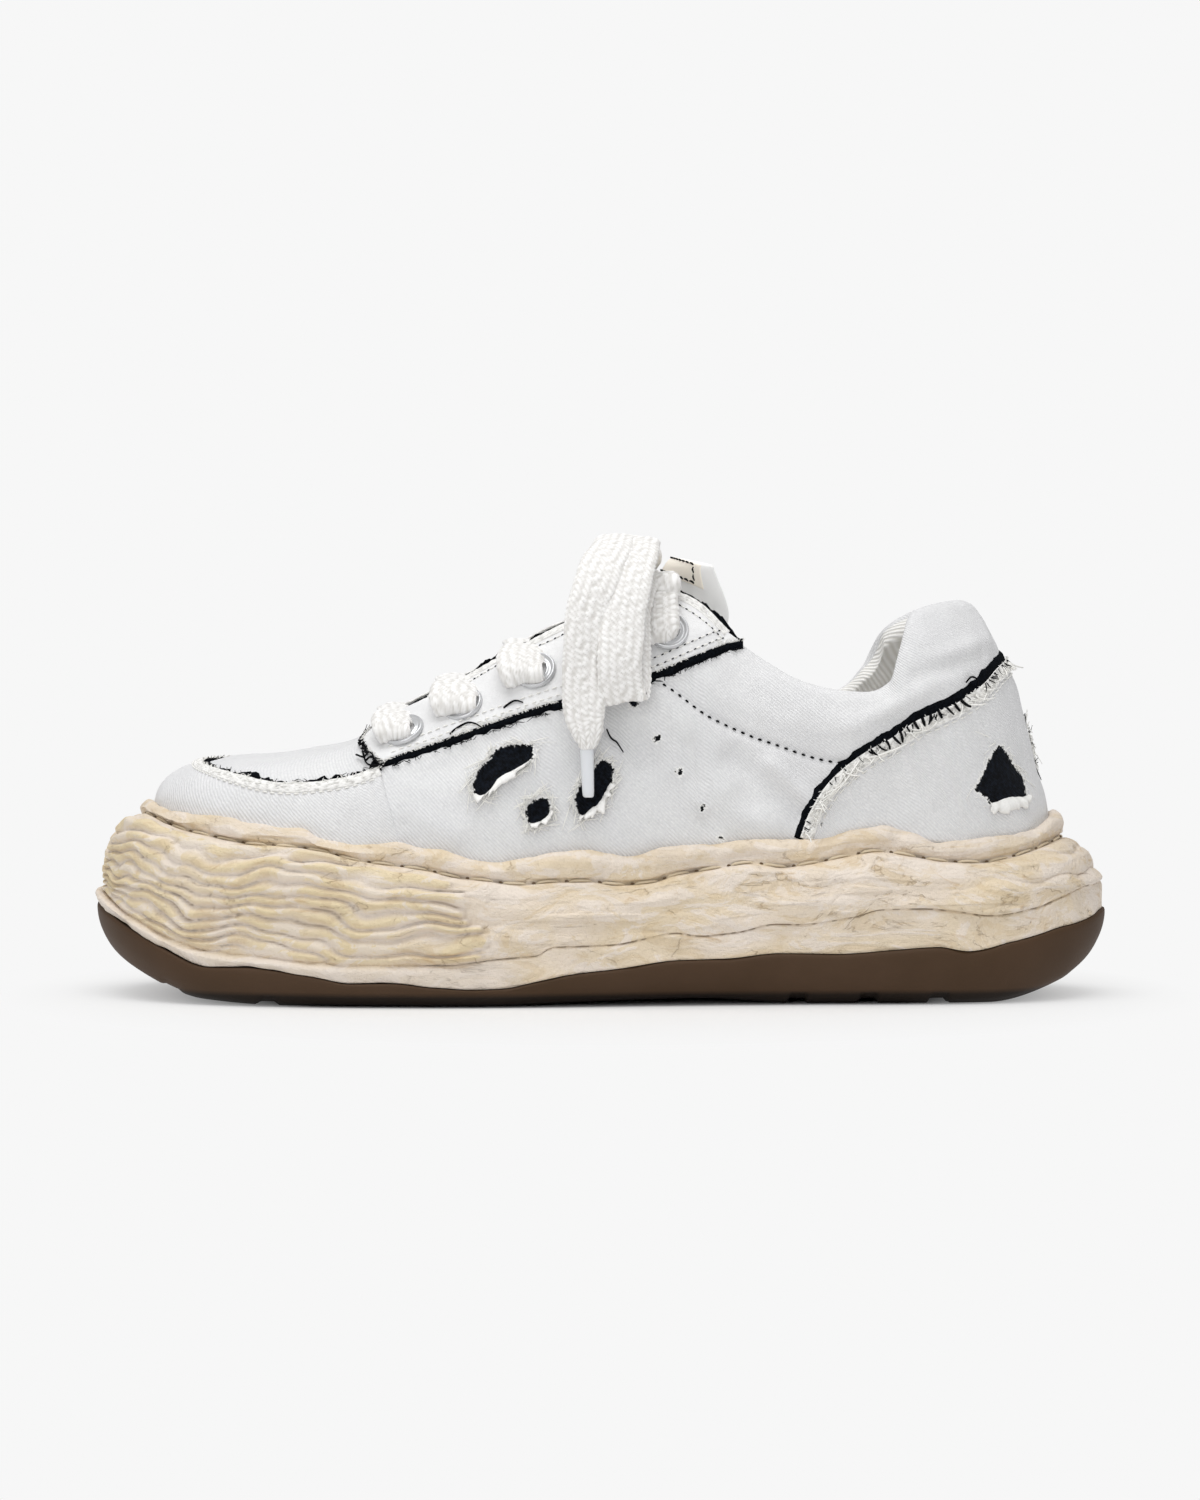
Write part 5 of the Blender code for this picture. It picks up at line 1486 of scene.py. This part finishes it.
def tongue_at(along, across, face, lift=0.0):
    """Points of the tongue: along 0 at its root, 1 at its top; across -1 to 1; face 1 in front, -1 behind."""
    along, across = np.broadcast_arrays(np.asarray(along, float), np.asarray(across, float))
    rows = np.array(list(TONGUE.values()), float)
    number = np.arange(len(rows))
    sections = []
    for at in (along, along + 0.01, along - 0.01):
        place = np.clip(at, 0, 1) * number[-1]
        columns = zip(TONGUE_COLUMNS, rows.T)
        sections.append({name: steady_curve(number, column, place) for name, column in columns})
    row, ahead, behind = sections
    slope = unit(np.stack([ahead["x"] - behind["x"], ahead["z"] - behind["z"]], axis=-1))
    puff = row["half_thick"] * np.sqrt(np.clip(1 - np.abs(across) ** 3, 0, 1))
    puff = puff - 0.7 * bump((np.abs(across) - 0.8) / 0.035) * (row["half_thick"] > 1.2)
    puff = puff * np.sqrt(np.clip(1 - ((along - 0.955) / 0.045).clip(0, 1) ** 2, 0.02, 1))
    puff = puff * face + lift
    x = row["x"] - slope[..., 1] * puff + row["sweep"] * across**2
    z = row["z"] + slope[..., 0] * puff - row["fall"] * across**2
    return np.stack([x, TONGUE_MIDDLE + row["half_wide"] * across, z], axis=-1)


def make_tongue(small):
    """Padded canvas tongue, sewn along its border, with a plain label at its top."""
    along = np.linspace(0, 1, 110)
    a = np.sin(np.linspace(-math.pi / 2, math.pi / 2, 45))
    front, back = tongue_at(along[:, None], a, 1), tongue_at(along[:, None], a[-2:0:-1], -1)
    rings = np.concatenate([front, back], axis=1)
    made = loft("padded_tongue", rings, TONGUE_CLOTH, along * 140, 90, slot="canvas")
    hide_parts("tongue")
    across = np.linspace(-0.84, 0.5, 40)
    up = np.linspace(0.925, 0.99, 16)
    tops = [tongue_at(up[:, None], across, 1, lift) for lift in (0.55, -0.3)]
    rings = np.concatenate([tops[0], tops[1][:, ::-1]], axis=1)
    loft("tongue_label", rings, LABEL_COTTON, np.arange(16.0), 60, slot="canvas")
    border = [tongue_at(np.full(60, row), np.linspace(-0.78, 0.45, 60), 1, 0.6) for row in (0.932, 0.984)]
    border.append(tongue_at(np.linspace(0.93, 0.987, 40), np.full(40, -0.76), 1, 0.6))
    for path in border:
        small["black"].append(stitch_points(path, np.tile((-0.6, -0.4, 0.6), (len(path), 1)), 2.4, 1.8, 0.3))


def make_insole():
    """The footbed, rounded over at its edge."""
    turn = around_places(256, 0.5)
    rings = []
    for inset, up in ((0.0, 0.0), (0.0, 0.7), (0.5, 0.93), (1.6, 1.0)):
        x, y = last_outline(turn, -WALL - 0.5 - inset)
        rings.append(np.stack([x, y, sole_line("bed", x) + 1.3 * GAP + INSOLE_THICK * up], axis=-1))
    made = loft("sock_insole", np.stack(rings), INSOLE_CLOTH, np.arange(4.0), 600, slot="lining")
    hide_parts("insole")


# ---------------------------------------------------------------- sole

# Lines of the sole as they wander along its outer side, as (x, z); the inner side wanders about its own.
OUTER_SOLE = {
    "rim": (
        (-148, 61), (-141, 60.5), (-137, 58.7), (-131, 56.7), (-121, 57.2), (-112, 56.2), (-108, 54.3),
        (-97, 54), (-89, 53.7), (-85, 50.9), (-72, 49), (-62, 48.9), (-47, 47), (-38, 44.3), (-29, 43.7),
        (-14, 46), (-2, 46.4), (9, 45.3), (24, 47.3), (46, 49.8), (58, 49.6), (66, 50.1), (80, 52.9),
        (87, 53.2), (95, 51.9), (102, 48.6), (117, 49.4), (125, 49.8), (133, 51.9), (141, 56.3),
        (148, 57),
    ),
    "groove": (
        (-148, 58), (-140, 56.8), (-128, 53), (-119, 51.3), (-105, 49), (-93, 48.3), (-83, 47),
        (-74, 44.5), (-64, 43.2), (-52, 41.5), (-43, 39.4), (-34, 38.4), (-24, 37.2), (-13, 38), (-3, 38),
        (5, 36.9), (15, 37.5), (23, 39.8), (34, 41.5), (46, 43.2), (55, 41.9), (64, 43), (74, 45),
        (84, 46.6), (95, 45), (105, 43.4), (115, 43), (124, 44.2), (132, 46.2), (141, 48.9), (148, 50.5),
    ),
    "band": (
        (-148, 28), (-120, 17.2), (-101, 15.3), (-85, 13.8), (-72, 13.2), (-45, 13.2), (-32, 14.7),
        (-19, 15.7), (-14, 18.2), (4, 18.7), (14, 20.5), (23, 22), (30, 21.2), (41, 22.2), (53, 24.5),
        (60, 24.4), (76, 26.5), (85, 28.7), (97, 29), (107, 28.2), (118, 26.8), (132, 28.7), (142, 32),
        (149, 35.9),
    ),
    "edge": (
        (-155, 28.2), (-144, 22.4), (-133, 17), (-118, 11.6), (-106, 11.8), (-96, 10.8), (-84, 8.9),
        (-75, 7.3), (-63, 7.5), (-51, 6.3), (-38, 5.5), (-29, 5.8), (-19, 7.8), (-9, 9.8), (6, 11.5),
        (23, 13.8), (38, 14.2), (54, 15.7), (72, 15.4), (87, 16.4), (102, 17.4), (111, 16.1), (124, 18.6),
        (132, 20.4), (139, 22.3), (147, 23.8), (156, 27.4),
    ),
}


def sole_height(line, x, y):
    """Height of a line of the sole: as drawn on the outer side, wandering about the table's on the inner."""
    plain = sole_line(line, x)
    if line not in OUTER_SOLE:
        return plain
    xs, zs = zip(*OUTER_SOLE[line])
    drawn = steady_curve(xs, zs, x)
    drawn = plain + (drawn - plain) * blend(x, xs[0] - 4, xs[0] + 8) * blend(-x, -xs[-1] - 4, -xs[-1] + 8)
    free = plain + 0.9 * swell(stacked(x, 0.4 * y), 34, 90 + len(line)) * blend(y, 4, 24)
    return free + (drawn - free) * blend(-y, -12, 12)


def midsole_rows():
    """The rings of MIDSOLE_SIDE before they are shaped by hand, and how they were numbered."""
    turn = around_places(MIDSOLE_AROUND, 0.6)
    flare = round_last(turn)["flare"]
    rings = []
    for out, share, behind, line, step, _ in MIDSOLE_SIDE.values():
        x, _ = last_outline(turn, out + share * flare)
        x, y = last_outline(turn, out + (share + behind * blend(x, -44, -30)) * flare)
        rings.append(np.stack([x, y, sole_height(line, x, y) + step], axis=-1))
    counts = [count for *_, count in MIDSOLE_SIDE.values()]
    places = np.concatenate([[0.0]] + [k + np.arange(1, n + 1) / n for k, n in enumerate(counts[1:])])
    return through(np.stack(rings), places), places, turn


def pressed_by_hand(points, places):
    """How far the rubber stands off its plain form, and how deep each point lies in a hollow, rib or groove;
    these depths colour it, and in the hollows and grooves they lay on painted shade.

    Round the toe lie rolled ribs one above another: across them the height is a rounded sine, narrow in
    the hollows and round on the crests, shifted by slow waves along them. Behind the ribs the body is lumpy,
    smeared lengthwise in flat layers with crisp ends, and parts from the band under it by a creased line.
    """
    names = list(MIDSOLE_SIDE)
    x, y, z = points[..., 0], points[..., 1], points[..., 2]
    top = sole_height("groove", x, y) - 1.6
    foot = sole_height("band", x, y) + 0.4
    down = (top - z) / np.maximum(top - foot, 4)
    body = blend(down, -0.06, 0.04) * blend(1 - down, -0.05, 0.03)
    plan = stacked(x + 17 * down, y)
    # Behind the toe there is room for two ribs fewer, and they run out into the seam and the band.
    across = (down - 0.5) * (RIBS - 2.2 * blend(x, -120, -50)) + 0.5 * RIBS
    phase = across + 0.8 * swell(plan, 52, 101) * blend(down, 0, 0.5) * blend(-x, 46, 80)
    phase = phase + 0.3 * swell(plan, 17, 102)
    phase = phase + 0.25 * swell(points * (1, 1, 2.5), 34, 103) * blend(down * (1 - down), 0.0, 0.1)
    rib = np.clip(np.floor(phase).astype(int), -1, RIBS)
    crest = np.abs(np.sin(math.pi * phase)) ** 1.05
    random = np.random.default_rng(105)
    size = random.uniform(0.72, 1.15, RIBS + 2)[rib + 1]
    shallow = 1 - 0.45 * blend(swell(stacked(x, y, 9.0 * rib), 34, 106), 0.1, 1.0)
    ends_x = np.array(RIB_ENDS)[np.clip(rib, 0, len(RIB_ENDS) - 1)]
    ends_x = ends_x + 0.7 * swell(points, 4, 107) + 5.0 * (y > 0)
    ribbed = blend(ends_x - x, -0.3, 1.3)
    ribs = RIB_HIGH * size * shallow * (crest - 0.5) + 0.9
    heel = blend(x, 92, 140)
    lumps = 0.5 * swell(points, 44, 108) + 0.42 * swell(points * (1, 1, 1.6), 17, 109)
    fold_phase = down * 2.0 + 0.35 * swell(stacked(x, y), 50, 110) + 0.2 * swell(points, 24, 111)
    fold = np.abs(np.sin(math.pi * fold_phase)) ** 0.7
    crack = bump(swell(points * (1, 1, 2.4), 30, 112) / 0.035) * blend(swell(points, 26, 113), 0.2, 0.8)
    layers = blend(swell(points * (0.4, 0.4, 1.9), 15, 131), -0.1, 0.12)
    layers = layers * blend(swell(points, 30, 132), -0.6, 0.4)
    layers = layers + 0.6 * blend(swell(points * (0.35, 0.35, 2.4), 11, 133), 0.35, 0.5)
    rear = lumps + (0.2 + 0.9 * heel) * (fold - 0.6) - 0.3 * crack + 0.42 * layers
    height = body * (ribs * ribbed + rear * (1 - ribbed))
    torn = bump((ends_x + 0.5 - x) / 0.8) * (np.abs(y) > 8)
    # Painted shade in the hollows between the ribs, darker in some stretches than in others, in the folds and
    # cracks behind them, and at the torn ends of the ribs.
    dark = 0.25 + 0.75 * blend(swell(points, 22, 134), 0.3, 0.9)
    rear_hollow_shade = 0.5 * heel * (1 - fold) ** 2 + 0.4 * crack
    hollow = body * (ribbed * (1 - crest) ** 3.5 * dark + (1 - ribbed) * rear_hollow_shade)
    hollow = hollow + 0.45 * body * torn
    seen = {"crest": body * ribbed * crest * (0.4 + 0.6 * blend(swell(points, 28, 114), -0.9, 0.6))}
    # The roll under the upper.
    foot_of_rim = names.index("rim foot")
    rim_part = blend(places, 1.2, 1.9)[:, None] * blend(foot_of_rim + 0.9 - places, 0, 0.9)[:, None]
    roll = 0.6 * swell(points, 28, 115) + 0.4 * swell(points, 10, 116) + 0.14 * swell(points, 4, 117)
    height = height + rim_part * roll
    # The stitched groove: a narrow slit that opens and closes.
    seam_z = sole_height("groove", x, y)
    near = ((places > 3.2) & (places < 6.8))[:, None]
    slit = bump((z - seam_z) / 0.55) * near
    height = height - 0.8 * slit
    # Painted shade in the slit.
    seen["groove"] = slit * (0.75 + 0.3 * swell(stacked(x, y), 7, 118))
    # The band round the foot of the body, from its crease down.
    low = blend(places, names.index("crease") - 0.1, names.index("band face"))[:, None] * np.ones_like(x)
    at_crease = bump((places - names.index("crease")) / 0.3)[:, None]
    open_crease = 0.55 + 0.45 * blend(swell(stacked(x, y), 24, 119), -0.9, 0.5)
    # Painted shade in dashes along the crease.
    crease_shade_dashes = blend(swell(stacked(x, y), 3.5, 141), -0.4, 0.2) * (1 - ribbed)
    height = height + low * (0.5 * swell(points, 26, 120) + 0.2 * swell(points, 9, 121))
    height = height - 0.7 * at_crease * open_crease
    hollow = hollow + at_crease * open_crease * (0.35 + 0.6 * crease_shade_dashes)
    seen["groove"] = np.clip(seen["groove"] + crease_shade_dashes * at_crease**2, 0, 1)
    seen["hollow"] = np.clip(hollow, 0, 1)
    skin = 0.85 * low * (1 - 0.85 * blend(x, -34, -22))
    skin = skin + 0.6 * rim_part * blend(swell(points, 40, 122), -0.3, 0.9)
    seen["skin"] = np.clip(skin + 0.9 * body * ribbed * (1 - crest) ** 1.4, 0, 1)
    return height, seen


def make_midsole(small):
    """The cup of rubber, with its rim, stitched groove, ribs and lumps all pressed out of its plain form."""
    rows, places, turn = midsole_rows()
    wrapped = np.concatenate([rows[:, -1:], rows, rows[:, :1]], axis=1)
    along, down = np.gradient(wrapped, axis=1)[:, 1:-1], np.gradient(rows, axis=0)
    out = unit(np.cross(along, -down))
    centre = rows.mean(axis=(0, 1))
    if ((rows - centre) * out).sum() < 0:
        out = -out
    height, fields = pressed_by_hand(rows, places)
    height = height * blend(places, 0.6, 1.6)[:, None]
    shaped = rows + out * height[..., None]
    x, y = last_outline(turn, GAP)
    floor = np.stack([x, y, sole_line("bed", x)], axis=-1)
    x, y = last_outline(turn, MIDSOLE_SIDE["band foot"][1] * round_last(turn)["flare"] - 4)
    under = np.stack([x, y, sole_height("edge", x, y) + 0.4], axis=-1)
    rings = np.concatenate([floor[None], shaped, under[None]])
    run = run_along(rings[:, 0])
    fields = {name: np.pad(values, ((1, 1), (0, 0))) for name, values in fields.items()}
    made = loft("rubber_midsole", rings, RUBBER, run, 800, fields=fields, slot="midsole_rubber")
    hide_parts("midsole")
    row = int(np.argmin(np.abs(places - list(MIDSOLE_SIDE).index("stitching"))))
    seam = np.concatenate([shaped[row], shaped[row, :1]])
    away = np.concatenate([out[row], out[row, :1]])
    run = run_along(seam)
    even = np.arange(0, run[-1], 0.8)
    path, out_of = read_along(even, run, seam), unit(read_along(even, run, away))
    small["sole"].append(stitch_points(path, out_of, STITCH_PITCH, STITCH_LONG, 0.5, bury=0.8))
    # Short dark marks at the stitch holes: painted shade.
    small["pits"].append(stitch_points(path[12:], out_of[12:], STITCH_PITCH, 1.2, 0.32, bury=0.5))


def make_outsole():
    """Brown tread rubber, turned up at toe and heel, with bowed grooves across its underside."""
    turn = around_places(OUTSOLE_AROUND, 0.5)
    flare = round_last(turn)["flare"]
    x, y = last_outline(turn, MIDSOLE_SIDE["band foot"][1] * flare - 4)
    keys = [np.stack([x, y, sole_height("edge", x, y) - GAP], axis=-1)]
    counts = [0]
    x, y = last_outline(turn, MIDSOLE_SIDE["band foot"][1] * flare + 0.1)
    keys.append(np.stack([x, y, sole_height("edge", x, y) - GAP / 2], axis=-1))
    counts.append(2)
    for beyond, share, count in OUTSOLE_SIDE.values():
        x, y = last_outline(turn, flare + beyond)
        under, edge = sole_line("under", x), sole_height("edge", x, y)
        keys.append(np.stack([x, y, under + (edge - under) * share], axis=-1))
        counts.append(count)
    places = np.concatenate([[0.0]] + [k + np.arange(1, n + 1) / n for k, n in enumerate(counts[1:])])
    rings = through(np.stack(keys), places)
    half = len(turn) // 2
    sheet = plate(rings[-1], 36)
    points = np.concatenate([rings.reshape(-1, 3), sheet.reshape(-1, 3)])
    lowest = sole_line("under", points[:, 0])
    bow = TREAD_BOW * (1 - (points[:, 1] / 75) ** 2)
    cut = 0
    for along, share in TREADS:
        away = np.abs(points[:, 0] - (along - bow))
        # The grooves under the ball and waist stop short of the sides.
        open_sided = along < -95 or along > 40
        reach = 1 if open_sided else blend(48 - np.abs(points[:, 1]), 0, 6)
        # A plain strip runs down the middle of the tread.
        reach = reach * blend(np.abs(points[:, 1]), 4, 8)
        cut = np.maximum(cut, share * reach * blend(TREAD_WIDE / 2 + 0.8 - away, 0, 1.0))
    near_floor = blend(lowest + 4.2 - points[:, 2], 0, 2.6)
    points[:, 2] += TREAD_DEEP * cut * near_floor
    start = rings.shape[0] * rings.shape[1]
    faces = np.concatenate([
        grid_faces(*rings.shape[:2], round_columns=True), end_faces(0, len(turn))[:, ::-1],
        grid_faces(half + 1, 36)[:, ::-1] + start,
    ])
    made = piece("rubber_outsole", points, faces, TREAD, slot="outsole_rubber")
    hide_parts("outsole")
    return welded(made)


# ---------------------------------------------------------------- studio

ROOM_LIGHT = 0.46
# Each lamp's place, what it is aimed at, its size and its power in watts.
LAMPS = (
    ("overhead softbox", (-150, -350, 1700), (0, 0, 60), (1500, 1200), 20.5),
    ("front fill", (-500, -1800, 700), (0, 0, 70), (1400, 900), 7.0),
)


def make_stage():
    """A pale floor that goes over into the white of the room, and soft light from above and in front."""
    floor = piece("studio_floor", [(-6000, -6000, 0), (6000, -6000, 0), (6000, 6000, 0), (-6000, 6000, 0)],
                  np.array([[0, 1, 2, 3]]), floor_material(), closed=False)
    del floor["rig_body"]
    world = bpy.data.worlds.new("white studio")
    bpy.context.scene.world = world
    world.use_nodes = True
    tree = world.node_tree
    room = add(tree, "Background", {"Color": shade("#ffffff"), "Strength": ROOM_LIGHT})
    seen = add(tree, "Background", {"Color": shade("#f7f7f7"), "Strength": 1.0})
    to_camera = add(tree, "LightPath", out="Is Camera Ray")
    both = add(tree, "MixShader", {0: to_camera, 1: room, 2: seen})
    tree.links.new(both, tree.nodes["World Output"].inputs["Surface"])
    for name, place, aim, size, power in LAMPS:
        light = bpy.data.lights.new(name, "AREA")
        light.shape = "RECTANGLE"
        light.size, light.size_y = size[0] * MM, size[1] * MM
        light.energy = power
        lamp = bpy.data.objects.new(name, light)
        lamp.location = Vector(place) * MM
        lamp.rotation_euler = (Vector(aim) - Vector(place)).to_track_quat("-Z", "Y").to_euler()
        bpy.context.scene.collection.objects.link(lamp)


def floor_material():
    """White paper roll; far from the shoe it burns out to the white of the room."""
    made, tree = start_material("white paper sweep", Base_Color=shade("#e9e9e9"), Roughness=0.9,
                                Specular_IOR_Level=0.1)
    place = add(tree, "TexCoord", out="Object")
    far = add(tree, "VectorMath", {0: place}, out="Value", operation="LENGTH")
    white = add(tree, "Emission", {"Color": shade("#f7f7f7"), "Strength": 1.0})
    share = add(tree, "MapRange", {0: far, 1: 0.1, 2: 0.185})
    both = add(tree, "MixShader", {0: share, 1: tree.nodes["Principled BSDF"].outputs[0], 2: white})
    tree.links.new(both, tree.nodes["Material Output"].inputs["Surface"])
    return made


def make_camera():
    """A long lens from the outer side, a little above the middle of the shoe."""
    lens = bpy.data.cameras.new("camera")
    lens.sensor_width = lens.sensor_height = 36
    lens.sensor_fit = "AUTO"
    lens.lens = CAMERA_LENS
    lens.clip_end = 100
    camera = bpy.data.objects.new("camera", lens)
    rise = math.radians(CAMERA_ELEVATION)
    camera.location = (
        0, -CAMERA_FAR * math.cos(rise) * MM, (CAMERA_TARGET_Z + CAMERA_FAR * math.sin(rise)) * MM,
    )
    camera.rotation_euler = (math.pi / 2 - rise, 0, 0)
    bpy.context.scene.collection.objects.link(camera)
    bpy.context.scene.camera = camera


def main():
    """Every piece, then the small ones that many makers add to, then the studio."""
    make_camera()
    small = {"white": [], "black": [], "sole": [], "pits": []}
    make_bow()
    make_knot()
    make_lace_bars()
    make_midsole(small)
    make_outsole()
    make_insole()
    make_upper()
    make_eyestays(small)
    make_counter(small)
    make_toe_guard(small)
    make_collar_seam(small)
    make_loose_threads(small)
    make_flaps(small)
    make_eyelets()
    make_tongue(small)
    joined("white_threads", small["white"], WHITE_THREAD, slot="canvas")
    joined("black_threads", small["black"], BLACK_THREAD, slot="canvas")
    joined("sole_stitches", small["sole"], SOLE_THREAD, slot="midsole_rubber")
    joined("sole_stitch_hole_shade", small["pits"], STITCH_HOLE_SHADE, slot="midsole_rubber")
    make_stage()
    bpy.context.scene.view_settings.view_transform = "Standard"


main()
